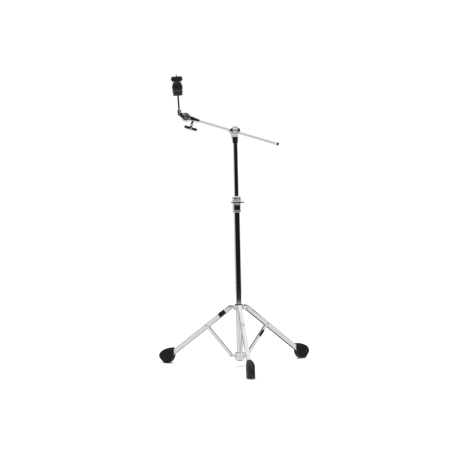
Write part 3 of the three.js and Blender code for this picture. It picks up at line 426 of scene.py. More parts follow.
lower_collar = soften(collar_ring("fixed_collar", BASE_TUBE_RADIUS + HAIR, collar_low, collar_high), 0.4)
for azimuth in LEG_AZIMUTHS:
    start = COLLAR_RADIUS - 3
    ear = ear_bar("ear", PIVOT_OUT - start, EAR_RADIUS, EAR_WIDTH)
    carve(ear, block("ear_root", (-10, -10, -10), (0, 10, 10)))
    soften(ear, 0.5)
    move(ear, start, 0, ear_height)
    fuse(lower_collar, turn(ear, azimuth - 90, "Z"))
    rivet_hole = move(turn(pin("hole", RIVET_RADIUS + HAIR, -9, 9), 90, "X"), PIVOT_OUT, 0, ear_height)
    carve(lower_collar, turn(rivet_hole, azimuth - 90, "Z"))
    screw_hole = pin("hole", SCREW_RADIUS + HAIR, 0, 30)
    carve(lower_collar, radial(screw_hole, azimuth + SCREW_TURN, screw_height))
install(lower_collar, column, cast_chrome, "base", "lower_leg_collar")


def socket_screw(name, seat, tip):
    """A socket-head screw along Z: its head stands on the seat, and a hexagon is sunk in it."""
    top = seat + SCREW_HEAD_HEIGHT
    screw = turned(
        name,
        [
            (0, tip),
            (SCREW_RADIUS, tip),
            (SCREW_RADIUS, seat),
            (SCREW_HEAD_RADIUS, seat),
            (SCREW_HEAD_RADIUS, top),
            (0, top),
        ],
        48,
    )
    soften(screw, 0.35)
    return carve(screw, pin("socket", SCREW_HEAD_RADIUS * 0.55, top - 2, top + 2, 6))


for number, azimuth in enumerate(LEG_AZIMUTHS, 1):
    screw = socket_screw(f"fixed_collar_screw_{number}", COLLAR_RADIUS + HAIR, BASE_TUBE_RADIUS + HAIR)
    radial(screw, azimuth + SCREW_TURN, screw_height)
    install(screw, column, cast_chrome, "base", f"collar_screw_{number}")

# ------------------------------------------------------------------ upper collar and its bushing
# The sliding collar is a casting like the lower one. A black nylon bushing lines its bore and shows as a
# ring on top, and a boss between two ears takes the wing bolt that locks it on the tube.

UPPER_EAR_WIDTH = 12
UPPER_EAR_RADIUS = 6.9
BUSHING_RADIUS = 15
BOSS_RADIUS = 6.5
BOSS_OUT = 27.5
BOLT_AZIMUTH = 60
BOLT_RADIUS = 3
slider_low, slider_high = level("upper_leg_collar", 0), level("upper_leg_collar", 1)
leg_top = slider_low + 12
bolt_height = (slider_low + slider_high) / 2

slider = soften(collar_ring("sliding_collar", BUSHING_RADIUS + HAIR, slider_low, slider_high), 0.4)
for azimuth in LEG_AZIMUTHS:
    start = COLLAR_RADIUS - 3
    ear = ear_bar("ear", PIVOT_OUT - start, UPPER_EAR_RADIUS, UPPER_EAR_WIDTH)
    carve(ear, block("ear_root", (-10, -10, -10), (0, 10, 10)))
    soften(ear, 0.8)
    move(ear, start, 0, leg_top)
    fuse(slider, turn(ear, azimuth - 90, "Z"))
boss = soften(pin("boss", BOSS_RADIUS, COLLAR_RADIUS - 3, BOSS_OUT, 48), 0.6)
fuse(slider, radial(boss, BOLT_AZIMUTH, bolt_height))


def bolt_way():
    return radial(pin("hole", BOLT_RADIUS + HAIR, 0, 60), BOLT_AZIMUTH, bolt_height)


carve(slider, bolt_way())
install(slider, column, cast_chrome, "leg_collar", "upper_leg_collar")

bushing_top = level("collar_bushing", 1)
bushing = turned(
    "sliding_collar_bushing",
    [
        (BASE_TUBE_RADIUS + HAIR, slider_low),
        (BUSHING_RADIUS, slider_low),
        (BUSHING_RADIUS, slider_high + HAIR),
        (BUSHING_RADIUS + 1.5, slider_high + HAIR),
        (BUSHING_RADIUS + 1.5, bushing_top - 1.2),
        (BUSHING_RADIUS + 0.3, bushing_top),
        (BASE_TUBE_RADIUS + HAIR, bushing_top),
        (BASE_TUBE_RADIUS + HAIR, slider_low),
    ],
    96,
)
carve(soften(bushing, 0.3), bolt_way())
install(bushing, column, black_nylon, "leg_collar", "collar_bushing")

# ------------------------------------------------------------------ wing bolts
# Each wing bolt is a cast butterfly on a steel shank: two flat wings run out from a round hub and thin
# towards their tips. All four on the stand come from one pattern; the boom's is a nut with a bore.

HUB_RADIUS = 6.2
HUB_TOP = 20


def butterfly(name):
    """The wings along X on a hub along Z, with the seat of the hub at z = 0."""
    wings = block("wings", (-7, -4.8, 8.2), (7, 4.8, 21.8))
    # Each step outwards: how far, and how much thinner and lower the wing gets.
    steps = ((7, 0.84, 1), (7, 0.84, 1), (4.5, 0.9, 0.9), (2, 0.75, 0.72))
    for side in (1, -1):
        edit(wings, "FACE")
        pick(wings, lambda face: face.normal.x * side > 0.9, "polygons")
        for out, thin, low in steps:
            bpy.ops.mesh.extrude_region_move(TRANSFORM_OT_translate={"value": (side * out, 0, 0)})
            bpy.ops.transform.resize(value=(1, thin, low))
        done()
    soften(wings, 1.8, 5)
    hub = turned(
        name,
        [
            (0, 0),
            (HUB_RADIUS - 1.2, 0),
            (HUB_RADIUS - 1.2, 1.5),
            (HUB_RADIUS, 3),
            (HUB_RADIUS, HUB_TOP - 1.5),
            (HUB_RADIUS - 1.5, HUB_TOP),
            (0, HUB_TOP),
        ],
        48,
    )
    return fuse(soften(hub, 0.5), wings)


pattern = butterfly("butterfly_pattern")


def copied(piece, name):
    only(piece)
    bpy.ops.object.duplicate(linked=False)
    return named(name)


def wing_bolt(name, length):
    """A copy of the butterfly on a threaded shank that reaches down to -length."""
    point = BOLT_RADIUS - 0.5
    outline = [(0, -length), (point, -length), (BOLT_RADIUS, -length + 0.8), (BOLT_RADIUS, 1), (0, 1)]
    return fuse(copied(pattern, name), turned("shank", outline, 32))


leg_bolt = turn(wing_bolt("sliding_collar_wing_bolt", BOSS_OUT - 13), 90, "Z")
radial(move(leg_bolt, 0, 0, BOSS_OUT + HAIR), BOLT_AZIMUTH, bolt_height)
install(leg_bolt, column, cast_chrome, "leg_wing_bolt", "leg_wing_bolt")

# ------------------------------------------------------------------ legs
# Each leg is a strip of steel folded to a channel, open underneath, with its top end rounded. The brace
# folds up into it. A domed rivet through both of its sides carries the brace, and one more holds the top.

LEG_SLOPE = 36.2
LEG_LENGTH = 354.5
LEG_WIDTH = 16
LEG_DEPTH = 20.5
SHEET = 1.4
BRACE_AT = 133.8
RIVET_HEAD = 4.4
RIVET_DOME = 1.1


def rotation_to(origin, x_axis, y_axis):
    """A place whose X and Y axes point as given; the origin is in metres."""
    x = Vector(x_axis).normalized()
    y = Vector(y_axis).normalized()
    z = x.cross(y)
    turned_axes = Matrix((x, y, z)).transposed().to_4x4()
    return Matrix.Translation(origin) @ turned_axes


def channel(name, length, width, depth, fold):
    """A folded channel along X, open downwards, with round ends about x = 0 and x = length."""
    outside = soften(ear_bar(name, length, depth / 2, width, 64), fold, 4)
    inside = width / 2 - SHEET
    room = block("room", (-depth, -inside, -depth), (length + depth, inside, depth / 2 - SHEET))
    edit(room, "EDGE")
    pick(room, lambda vertex: vertex.co.z > 0)
    bpy.ops.mesh.select_mode(type="EDGE")
    bpy.ops.mesh.bevel(offset=max(fold - SHEET, 0.4), segments=3, affect="EDGES")
    done()
    return carve(outside, room)


def rivet(name, half_grip):
    """A rivet along Z with a low dome at both ends."""
    seat = half_grip + HAIR
    top = seat + RIVET_DOME
    half = [(RIVET_RADIUS, seat), (RIVET_HEAD, seat), (RIVET_HEAD * 0.86, seat + RIVET_DOME * 0.55)]
    half += [(RIVET_HEAD * 0.5, seat + RIVET_DOME * 0.92), (0, top)]
    lower = [(radius, -height) for radius, height in reversed(half)]
    return soften(turned(name, lower + half, 40), 0.15, 2, 50)


leg_places = []
for number in (1, 2, 3):
    hinge = joint[f"leg_{number}_fold"]
    tangent = Vector(hinge["axis"])
    outward = tangent.cross(UP)
    slope = math.radians(LEG_SLOPE)
    along = outward * math.cos(slope) - UP * math.sin(slope)
    top_pivot = Vector(hinge["pos_m"]) - along * BRACE_AT * 0.001
    place = rotation_to(top_pivot, along, tangent)
    leg_places.append((place, outward, tangent))

    leg = channel(f"leg_channel_{number}", LEG_LENGTH, LEG_WIDTH, LEG_DEPTH, 2.2)
    carve(leg, block("end", (LEG_LENGTH, -20, -20), (LEG_LENGTH + 20, 20, 20)))
    carve(leg, move(turn(pin("hole", RIVET_RADIUS + HAIR, -20, 20), 90, "X"), BRACE_AT, 0, 0))
    for side in (90, -90):
        seat = LEG_WIDTH / 2 - 0.2
        head = [
            (0, seat),
            (RIVET_HEAD, seat),
            (RIVET_HEAD * 0.86, seat + 0.9),
            (RIVET_HEAD * 0.5, seat + 1.25),
            (0, seat + 1.3),
        ]
        fuse(leg, turn(turned("head", head, 40), side, "X"))
    install(leg, place, tube_chrome, f"leg_{number}", f"leg_{number}")

    brace_rivet = move(turn(rivet(f"leg_rivet_{number}", LEG_WIDTH / 2), 90, "X"), BRACE_AT, 0, 0)
    install(brace_rivet, place, cast_chrome, f"leg_{number}", f"brace_rivet_{number}")

# ------------------------------------------------------------------ braces
# A narrower folded channel props each leg from the lower collar. It straddles the collar's ear, and its
# upper end turns inside the leg. A rivet through ear and channel is its lower hinge.

BRACE_WIDTH = 9.2
BRACE_DEPTH = 15.5

brace_places = []
for number in (1, 2, 3):
    foot_pin = Vector(joint[f"brace_{number}_fold"]["pos_m"])
    head_pin = Vector(joint[f"leg_{number}_fold"]["pos_m"])
    tangent = Vector(joint[f"leg_{number}_fold"]["axis"])
    length = (head_pin - foot_pin).length * 1000
    # The channel opens towards the column, so its Z axis, the closed side, points away and down.
    place = rotation_to(foot_pin, head_pin - foot_pin, -tangent)
    brace_places.append(place)
    brace = channel(f"brace_channel_{number}", length, BRACE_WIDTH, BRACE_DEPTH, 1.8)
    for x in (0, length):
        carve(brace, move(turn(pin("hole", RIVET_RADIUS + HAIR, -20, 20), 90, "X"), x, 0, 0))
    install(brace, place, tube_chrome, f"brace_{number}", f"brace_{number}")
    lower_rivet = turn(rivet(f"collar_rivet_{number}", BRACE_WIDTH / 2), 90, "X")
    install(lower_rivet, place, cast_chrome, "base", f"lower_rivet_{number}")

# ------------------------------------------------------------------ rubber feet
# A thick boot of moulded black rubber is pushed on the end of each leg. It is flat underneath, rounded
# everywhere else, and has a raised lip round the mouth that the leg enters.

rubber = Finish("black_rubber", "rubber", IOR=1.5, Specular_IOR_Level=0.3)
rubber_patches = rubber.noise(35, 4)
rubber_grain = rubber.noise(1500, 3)
rubber.use(
    Base_Color=rubber.blend(rubber_patches, (0.005, 0.0053, 0.0068), (0.011, 0.0115, 0.0145)),
    Roughness=rubber_patches * 0.2 + 0.45,
    Normal=rubber.relief(rubber_grain, 0.25, 0.0003),
)

LEG_ENTERS_FOOT = 332
MOUTH_TO_ENTRY = 7
FOOT_INNER = PIVOT_OUT + LEG_ENTERS_FOOT * math.cos(math.radians(LEG_SLOPE)) - MOUTH_TO_ENTRY
FOOT_HALF_WIDTH = 15.75
FOOT_HEIGHT = 66
SMOOTHED_HEIGHT = 65.3
SOLE_CUT = 0.35
# Corners as (distance out from the foot's inner end, height or half width, rounding).
FOOT_SIDE = (
    (0.5, 26, 14),
    (21, 0, 10),
    (46, 0, 9),
    (76.6, 29, 11),
    (60, 51, 12),
    (25, 66.5, 16),
    (3, 66.5, 4),
)
FOOT_PLAN = (
    (-0.5, -13.5, 5),
    (20, -15.8, 12),
    (54, -15.8, 14),
    (75.8, -9, 8.5),
    (75.8, 9, 8.5),
    (54, 15.8, 14),
    (20, 15.8, 12),
    (-0.5, 13.5, 5),
)
# Seen from the front the boot's shoulders slope in towards its domed top.
FOOT_FRONT = ((-15.8, -6, 1), (15.8, -6, 1), (15.8, 34, 16), (12, 66.5, 11), (-12, 66.5, 11), (-15.8, 34, 16))


def slab(name, corners, low, high):
    """A flat outline in the XY plane with each corner rounded on its own, made thick from low to high."""
    bpy.ops.object.select_all(action="DESELECT")
    bpy.ops.mesh.primitive_plane_add(size=1, location=(0, 0, 0))
    piece = named(name)
    edit(piece)
    bpy.ops.mesh.merge(type="CENTER")
    here = Vector((0, 0, low))
    bpy.ops.transform.translate(value=here)
    for index, (x, y, rounding) in enumerate(corners):
        there = Vector((x, y, low))
        if index == 0:
            bpy.ops.transform.translate(value=there - here)
        else:
            bpy.ops.mesh.extrude_region_move(TRANSFORM_OT_translate={"value": there - here})
        here = there
    bpy.ops.mesh.select_all(action="SELECT")
    bpy.ops.mesh.edge_face_add()
    for x, y, rounding in corners:
        pick(piece, lambda vertex: abs(vertex.co.x - x) + abs(vertex.co.y - y) < 0.001)
        bpy.ops.mesh.bevel(offset=rounding, segments=9, affect="VERTICES")
    bpy.ops.mesh.select_all(action="SELECT")
    bpy.ops.mesh.extrude_region_move(TRANSFORM_OT_translate={"value": (0, 0, high - low)})
    bpy.ops.mesh.select_all(action="SELECT")
    bpy.ops.mesh.normals_make_consistent(inside=False)
    done()
    return piece


def moulded_foot():
    """The block that three outlines share, worn smooth all over and then cut flat for the sole."""
    foot = turn(slab("rubber_foot_pattern", FOOT_SIDE, -FOOT_HALF_WIDTH, FOOT_HALF_WIDTH), 90, "X")
    fuse(foot, slab("plan", FOOT_PLAN, -5, 80), "INTERSECT")
    front = turn(turn(slab("front", FOOT_FRONT, -5, 85), 90, "X"), 90, "Z")
    fuse(foot, front, "INTERSECT")
    skin = foot.modifiers.new("skin", "REMESH")
    skin.mode = "VOXEL"
    skin.voxel_size = 0.8
    apply(foot, skin)
    worn = foot.modifiers.new("worn", "SMOOTH")
    worn.factor = 0.5
    worn.iterations = 24
    apply(foot, worn)
    edit(foot)
    bpy.ops.mesh.bisect(plane_co=(0, 0, SOLE_CUT), plane_no=(0, 0, 1), use_fill=True, clear_inner=True)
    done()
    move(foot, FOOT_INNER, 0, 0)
    stretch = Matrix.Diagonal((1, 1, FOOT_HEIGHT / SMOOTHED_HEIGHT, 1))
    foot.matrix_world = stretch @ Matrix.Translation((0, 0, -SOLE_CUT))
    only(foot)
    bpy.ops.object.transform_apply(location=True, rotation=True, scale=True)
    return foot


foot_pattern = moulded_foot()

for number, (place, outward, tangent) in enumerate(leg_places, 1):
    foot = copied(foot_pattern, f"rubber_foot_{number}")
    spoke = rotation_to(column.translation, outward, tangent)
    to_leg = spoke.inverted() @ place
    to_leg.translation = to_leg.translation * 1000
    half_wide, half_deep = LEG_WIDTH / 2 + HAIR, LEG_DEPTH / 2 + HAIR
    mouth = block("mouth", (300, -half_wide, -half_deep), (LEG_LENGTH + 0.5, half_wide, half_deep))
    mouth.matrix_world = to_leg
    only(mouth)
    bpy.ops.object.transform_apply(location=True, rotation=True, scale=True)
    carve(foot, mouth)
    install(foot, spoke, rubber, f"leg_{number}", f"foot_{number}")
bpy.data.objects.remove(foot_pattern, do_unlink=True)

# ------------------------------------------------------------------ painted reflections
# Two plain black bands with no marking are a painted reflection of the dark room in the chrome: one is
# wrapped round the left leg near its top, and one round the right brace near its upper pivot.

# The black finish of these bands is painted reflection: it stands in for the dark room that the chrome
# reflects there.
painted_reflection_finish = moulded("black_foil", "black_plastic", (0.005, 0.0055, 0.007), (0.009, 0.0095, 0.011), 0.22, 900)
REFLECTION_BAND_THICKNESS = 0.12
REFLECTION_BAND_CLEARANCE = 0.02


def painted_reflection_band(name, start, end, width, top, low, place, body):
    """A black band of painted reflection over a channel's closed side and down both of its flanks."""
    band = soften(block(name, (start, -width / 2 - REFLECTION_BAND_THICKNESS, low), (end, width / 2 + REFLECTION_BAND_THICKNESS, top + REFLECTION_BAND_THICKNESS)), 1.4, 4)
    room = width / 2 + REFLECTION_BAND_CLEARANCE
    inside = block("inside", (start - 1, -room, low - 9), (end + 1, room, top + REFLECTION_BAND_CLEARANCE))
    install(carve(band, soften(inside, 1.3, 4)), place, painted_reflection_finish, body)


left_leg_place = leg_places[2][0]
painted_reflection_band("leg_foil_label", 27, 62, LEG_WIDTH, LEG_DEPTH / 2, -LEG_DEPTH / 2, left_leg_place, "leg_3")
painted_reflection_band("brace_foil_label", 97, 131, BRACE_WIDTH, BRACE_DEPTH / 2, -BRACE_DEPTH / 2, brace_places[1], "brace_2")

# ------------------------------------------------------------------ height clamp, bushing and wing bolt
# The clamp is a cast sleeve on the top of the base tube. Its wing bolt bears on a split nylon bushing,
# which grips the upper tube.

CLAMP_RADIUS = 17.5
BUSHING_BORE = 9.825
BUSHING_HEAD = 13.5
CLAMP_BOSS_OUT = 21.5
clamp_low, clamp_high = level("height_clamp", 0), level("height_clamp", 1)
clamp_bolt_height = clamp_high - 6

clamp = turned(
    "height_clamp_sleeve",
    [
        (BASE_TUBE_RADIUS + HAIR, clamp_low),
        (CLAMP_RADIUS - 1.5, clamp_low),
        (CLAMP_RADIUS, clamp_low + 2),
        (CLAMP_RADIUS, clamp_low + 7),
        (CLAMP_RADIUS - 0.7, clamp_low + 8),
        (CLAMP_RADIUS - 0.7, clamp_high - 16),
        (CLAMP_RADIUS, clamp_high - 15),
        (CLAMP_RADIUS, clamp_high - 1.5),
        (CLAMP_RADIUS - 1.5, clamp_high),
        (BUSHING_HEAD + HAIR, clamp_high),
        (BUSHING_HEAD + HAIR, base_high),
        (BASE_TUBE_RADIUS + HAIR, base_high),
        (BASE_TUBE_RADIUS + HAIR, clamp_low),
    ],
    96,
)
soften(clamp, 0.4)
clamp_boss = soften(pin("boss", 5.6, CLAMP_RADIUS - 3, CLAMP_BOSS_OUT, 48), 0.5)
fuse(clamp, radial(clamp_boss, 0, clamp_bolt_height))
carve(clamp, radial(pin("hole", BOLT_RADIUS + HAIR, 0, 60), 0, clamp_bolt_height))
install(clamp, column, cast_chrome, "base", "height_clamp")

height_bolt = turn(wing_bolt("height_clamp_wing_bolt", CLAMP_BOSS_OUT - BUSHING_HEAD), 90, "Z")
radial(move(height_bolt, 0, 0, CLAMP_BOSS_OUT + HAIR), 0, clamp_bolt_height)
install(height_bolt, column, cast_chrome, "height_wing_bolt", "height_wing_bolt")

grip_low, grip_high = level("clamp_bushing", 0), level("clamp_bushing", 1)
grip = turned(
    "height_clamp_bushing",
    [
        (BUSHING_BORE, grip_low),
        (BUSHING_BORE + 1.1, grip_low),
        (BUSHING_BORE + 1.1, base_high + HAIR),
        (BUSHING_HEAD, base_high + HAIR),
        (BUSHING_HEAD, grip_high),
        (BUSHING_BORE, grip_high),
        (BUSHING_BORE, grip_low),
    ],
)
install(soften(grip, 0.25), column, black_nylon, "clamp_bushing", "clamp_bushing")

# ------------------------------------------------------------------ memory lock
# A cast ring that is pinched on the upper tube and rests on the clamp, so that the stand comes back to the
# same height. The pinch bolt has a square head for a drum key.

LOCK_RADIUS = 18.4
LOCK_BOSS_RADIUS = 6.8
LOCK_BOSS_OUT = LOCK_RADIUS + 4
LOCK_AZIMUTH = 24
lock_low, lock_high = level("memory_lock", 0), level("memory_lock", 1)
lock_middle = (lock_low + lock_high) / 2
lock = turned(
    "memory_lock_ring",
    [
        (BUSHING_BORE, lock_low),
        (LOCK_RADIUS - 1.2, lock_low),
        (LOCK_RADIUS, lock_low + 1.5),
        (LOCK_RADIUS, lock_low + 5),
        (LOCK_RADIUS - 0.8, lock_low + 6),
        (LOCK_RADIUS - 0.8, lock_high - 7),
        (LOCK_RADIUS, lock_high - 6),
        (LOCK_RADIUS, lock_high - 3.2),
        (LOCK_RADIUS - 2.9, lock_high),
        (BUSHING_BORE, lock_high),
        (BUSHING_BORE, lock_low),
    ],
    96,
)
soften(lock, 0.4)
lock_boss = soften(pin("boss", LOCK_BOSS_RADIUS, LOCK_RADIUS - 4, LOCK_BOSS_OUT, 64), 1.1, 4)
lock_way = pin("hole", SCREW_RADIUS + HAIR, 0, 40)
for tool in (lock_boss, lock_way):
    radial(tool, LOCK_AZIMUTH, lock_middle)
carve(fuse(lock, lock_boss), lock_way)
install(lock, column, cast_chrome, "memory_lock", "memory_lock")

key_bolt = turned(
    "memory_lock_key_bolt",
    [
        (0, BUSHING_BORE + HAIR),
        (SCREW_RADIUS, BUSHING_BORE + HAIR),
        (SCREW_RADIUS, LOCK_BOSS_OUT + HAIR),
        (4.05, LOCK_BOSS_OUT + HAIR),
        (4.05, LOCK_BOSS_OUT + 2.3),
        (0, LOCK_BOSS_OUT + 2.3),
    ],
    48,
)
square = soften(block("square", (-2.4, -2.4, LOCK_BOSS_OUT + 1), (2.4, 2.4, LOCK_BOSS_OUT + 6)), 0.5)
radial(fuse(soften(key_bolt, 0.35), square), LOCK_AZIMUTH, lock_middle)
install(key_bolt, column, cast_chrome, "memory_lock", "memory_lock_bolt")

# ------------------------------------------------------------------ upper tube and its top sleeve
# The upper column is 19 mm chromed tube. A tapered black nylon sleeve covers the joint between the tube
# and the neck of the boom's tilter.

UPPER_RADIUS = 9.525
UPPER_BORE = 8.325
tube_low, tube_high = level("upper_tube", 0), level("upper_tube", 1)
upper_tube = tube("column_upper_tube", UPPER_BORE, UPPER_RADIUS, tube_low, tube_high, 96)
install(soften(upper_tube, 0.3), column, tube_chrome, "upper_tube", "upper_tube")

sleeve_low, sleeve_high = level("tube_top_sleeve", 0), level("tube_top_sleeve", 1)
top_sleeve = turned(
    "column_top_sleeve",
    [
        (BUSHING_BORE, sleeve_low),
        (BUSHING_BORE + 0.8, sleeve_low),
        (BUSHING_BORE + 1.5, sleeve_high - 12),
        (BUSHING_BORE + 1.9, sleeve_high - 7),
        (BUSHING_BORE + 1.9, sleeve_high),
        (BUSHING_BORE, sleeve_high),
        (BUSHING_BORE, sleeve_low),
    ],
    96,
)
install(soften(top_sleeve, 0.3), column, black_nylon, "upper_tube", "tube_top_sleeve")

# ------------------------------------------------------------------ fixed half of the boom tilter
# One casting: a spigot that goes into the upper tube, a round neck on it, and a thick round housing that
# stands on the neck. Its front is recessed for the head of the eye bolt.

NECK_RADIUS = 14
HOUSING_RADIUS = 21.4
HOUSING_FRONT = 12
HOUSING_BACK = 4
tilt_pivot = Vector(joint["boom_tilt"]["pos_m"])
boom_height = tilt_pivot.z * 1000
boom_behind = (tilt_pivot.y - column_axis.y) * 1000
neck_low = sleeve_high + HAIR

neck = turned(
    "tilter_neck_and_housing",
    [
        (0, neck_low - 30),
        (7, neck_low - 30),
        (8, neck_low - 28.5),
        (8, neck_low),
        (NECK_RADIUS - 4, neck_low),
        (NECK_RADIUS - 0.8, neck_low + 1.6),
        (NECK_RADIUS, neck_low + 3.4),
        (NECK_RADIUS, neck_low + 6),
        (NECK_RADIUS - 1.6, neck_low + 7.8),
        (0, neck_low + 7.8),
    ],
    96,
)
soften(neck, 0.5)
housing = turned(
    "housing",
    [
        (0, -HOUSING_BACK),
        (HOUSING_RADIUS - 1, -HOUSING_BACK),
        (HOUSING_RADIUS, 1 - HOUSING_BACK),
        (HOUSING_RADIUS, HOUSING_FRONT - 5),
        (HOUSING_RADIUS - 0.8, HOUSING_FRONT - 2.6),
        (HOUSING_RADIUS - 3, HOUSING_FRONT - 0.8),
        (HOUSING_RADIUS - 6, HOUSING_FRONT),
        (12.6, HOUSING_FRONT),
        (12.6, HOUSING_FRONT - 2.5),
        (0, HOUSING_FRONT - 2.5),
    ],
    96,
)
soften(housing, 0.5)
fuse(neck, move(turn(housing, 90, "X"), 0, 0, boom_height))
carve(neck, move(turn(pin("hole", 4.3, -20, 20), 90, "X"), 0, 0, boom_height))
install(neck, column, cast_chrome, "upper_tube", "tilter_base")

# ------------------------------------------------------------------ boom clamp
# An eye bolt runs through the housing, and the boom runs through its eye. The wing nut behind draws the
# saddle and the clamp's cap together on the boom, and the saddle against the housing.

boom_axis = Vector(joint["boom_slide"]["axis"])
boom = rotation_to(tilt_pivot, boom_axis, (0, -1, 0))
BOOM_RADIUS = 6.35
LINER_RADIUS = 7.45
LINER_HALF = 6.5
EYE_HOLE = 7.75
EYE_RADIUS = 10.45
EYE_HALF = 8.6
SHANK_RADIUS = 4
HEAD_RADIUS = 12
CAP_BACK = 10.5
CLAMP_DISC = 18.5
LOBE_REACH = 22
head_seat = boom_behind + HOUSING_FRONT - 2.5 + HAIR

eye_outline = [(0, -EYE_HALF), (EYE_RADIUS, -EYE_HALF), (EYE_RADIUS, EYE_HALF), (0, EYE_HALF)]
eye = turned("boom_eye_bolt_body", eye_outline, 72)
soften(eye, 0.5)
fuse(eye, pin("shank", SHANK_RADIUS, -CAP_BACK - 20, head_seat + 1, 40))
head = turned(
    "head",
    [
        (0, head_seat),
        (HEAD_RADIUS, head_seat),
        (HEAD_RADIUS, head_seat + 1.4),
        (HEAD_RADIUS - 0.8, head_seat + 2.6),
        (HEAD_RADIUS - 3, head_seat + 3.7),
        (HEAD_RADIUS - 6, head_seat + 4.3),
        (HEAD_RADIUS - 9, head_seat + 4.5),
        (0, head_seat + 4.5),
    ],
    72,
)
fuse(eye, soften(head, 0.4))
turn(eye, -90, "X")
carve(eye, turn(pin("boom_way", EYE_HOLE, -20, 20, 64), 90, "Y"))
satin_chrome = plated("satin_chrome_on_eye_bolt", "chrome_casting", 0.12, 350, 0.24)
install(eye, boom, satin_chrome, "boom_clamp", "boom_eye_bolt")


def clamp_half(name, outer, lobe_end, round_over):
    """One half of the clamp, from the split at y = 1 outwards along +Y, with a lobe on either side."""
    rim, shoulder = CLAMP_DISC, CLAMP_DISC - round_over
    disc = turned(name, [(0, 1), (rim, 1), (rim, outer - round_over), (shoulder, outer), (0, outer)], 96)
    soften(disc, 0.5)
    lobes = pin("lobes", LOBE_REACH, 1, lobe_end, 96)
    for side in (1, -1):
        carve(lobes, block("side", (-30, side * 20 - 10.5, 0), (30, side * 20 + 10.5, 40)))
    soften(lobes, 1.2, 4)
    fuse(disc, lobes)
    carve(disc, turn(pin("boom_way", BOOM_RADIUS + HAIR, -40, 40, 64), 90, "Y"))
    carve(disc, pin("eye_room", EYE_RADIUS + HAIR, 0, EYE_HALF + HAIR, 72))
    carve(disc, pin("shank_room", SHANK_RADIUS + HAIR, 0, 40, 40))
    return turn(disc, -90, "X")


saddle_back, saddle_lobes = boom_behind - HOUSING_BACK - HAIR, boom_behind - NECK_RADIUS - HAIR
saddle = clamp_half("boom_clamp_saddle", saddle_back, saddle_lobes, 1)
install(saddle, boom, cast_chrome, "boom_clamp", "boom_saddle")
clamp_cap = turn(clamp_half("boom_clamp_cover", CAP_BACK, CAP_BACK - 2, 2), 180, "Z")
install(clamp_cap, boom, cast_chrome, "boom_clamp", "boom_clamp_cap")

liner = tube("boom_clamp_liner", BOOM_RADIUS + HAIR, LINER_RADIUS, -LINER_HALF, LINER_HALF)
install(turn(liner, 90, "Y"), boom, black_nylon, "boom_liner", "boom_liner")

wing_nut = carve(copied(pattern, "boom_clamp_wing_nut"), pin("bore", SHANK_RADIUS + HAIR, -1, 40, 40))
wing_nut = turn(turn(wing_nut, 90, "Z"), 90, "X")
install(move(wing_nut, 0, -CAP_BACK - HAIR, 0), boom, cast_chrome, "boom_wing_nut", "boom_wing_nut")

# ------------------------------------------------------------------ boom rod and its tail plug
# The boom is 12.7 mm chromed tube. A black plug closes its tail, and its other end is fixed in the
# socket of the cymbal tilter.

BOOM_BORE = 5.15
BOOM_TAIL = 184
BOOM_END = 183.2
boom_rod = tube("boom_tube", BOOM_BORE, BOOM_RADIUS, -BOOM_TAIL, BOOM_END)
install(turn(soften(boom_rod, 0.25), 90, "Y"), boom, tube_chrome, "boom", "boom_rod")

plug = turned(
    "boom_tail_plug",
    [
        (0, -BOOM_TAIL - 9),
        (3.4, -BOOM_TAIL - 9),
        (5.6, -BOOM_TAIL - 8.1),
        (BOOM_RADIUS, -BOOM_TAIL - 6),
        (BOOM_RADIUS, -BOOM_TAIL - HAIR),
        (BOOM_BORE - HAIR, -BOOM_TAIL - HAIR),
        (BOOM_BORE - HAIR, -BOOM_TAIL + 15),
        (0, -BOOM_TAIL + 15),
    ],
)
install(turn(soften(plug, 0.3), 90, "Y"), boom, black_nylon, "boom", "boom_end_plug")

# ------------------------------------------------------------------ cymbal tilter
# A cast body holds the end of the boom in a tapered socket, planed flat in front, and has a round cheek. The
# arm's cheek lies against it, a hexagon bolt runs through both, and the arm ends in the rod's holder.

SOCKET_START = 150
SOCKET_END = 188.2
DRUM_AT = 208
DRUM_RADIUS = 18.4
DRUM_THICK = 11
BOLT_AT = 176
BOSS_DROP = 24
CHEEK_GAP = 0.15

body = turned(
    "tilter_body_casting",
    [
        (0, SOCKET_START),
        (8.2, SOCKET_START),
        (8.8, SOCKET_START + 1),
        (9.4, SOCKET_START + 12),
        (10.8, SOCKET_END - 8),
        (10.8, SOCKET_END),
        (0, SOCKET_END),
    ],
    72,
)
turn(soften(body, 0.6), 90, "Y")
cheek = turned(
    "cheek",
    [
        (0, CHEEK_GAP),
        (DRUM_RADIUS - 0.6, CHEEK_GAP),
        (DRUM_RADIUS, 0.8),
        (DRUM_RADIUS, DRUM_THICK - 4),
        (DRUM_RADIUS - 1.2, DRUM_THICK - 1.4),
        (DRUM_RADIUS - 3.5, DRUM_THICK),
        (0, DRUM_THICK),
    ],
    96,
)
fuse(body, move(turn(soften(cheek, 0.4), 90, "X"), DRUM_AT, 0, 0))
bridge = soften(block("bridge", (SOCKET_END - 14, -DRUM_THICK, -9.6), (DRUM_AT, -CHEEK_GAP, 9.6)), 1.5, 4)
fuse(body, bridge)
body_boss = turned("boss", [(0, -BOSS_DROP), (5.6, -BOSS_DROP), (6.6, -BOSS_DROP + 1), (6.6, 0), (0, 0)], 48)
fuse(body, move(soften(body_boss, 0.4), BOLT_AT, 0, 0))
carve(body, block("planed_front", (SOCKET_START - 1, 8, -12), (SOCKET_END + 1, 12, 12)))
carve(body, turn(pin("boom_way", BOOM_RADIUS + HAIR, 0, BOOM_END + HAIR, 64), 90, "Y"))
carve(body, move(pin("bolt_way", BOLT_RADIUS + HAIR, -40, 0), BOLT_AT, 0, 0))
carve(body, move(turn(pin("pivot_way", BOLT_RADIUS + HAIR, -30, 30), 90, "X"), DRUM_AT, 0, 0))
install(body, boom, cast_chrome, "boom", "tilter_body")

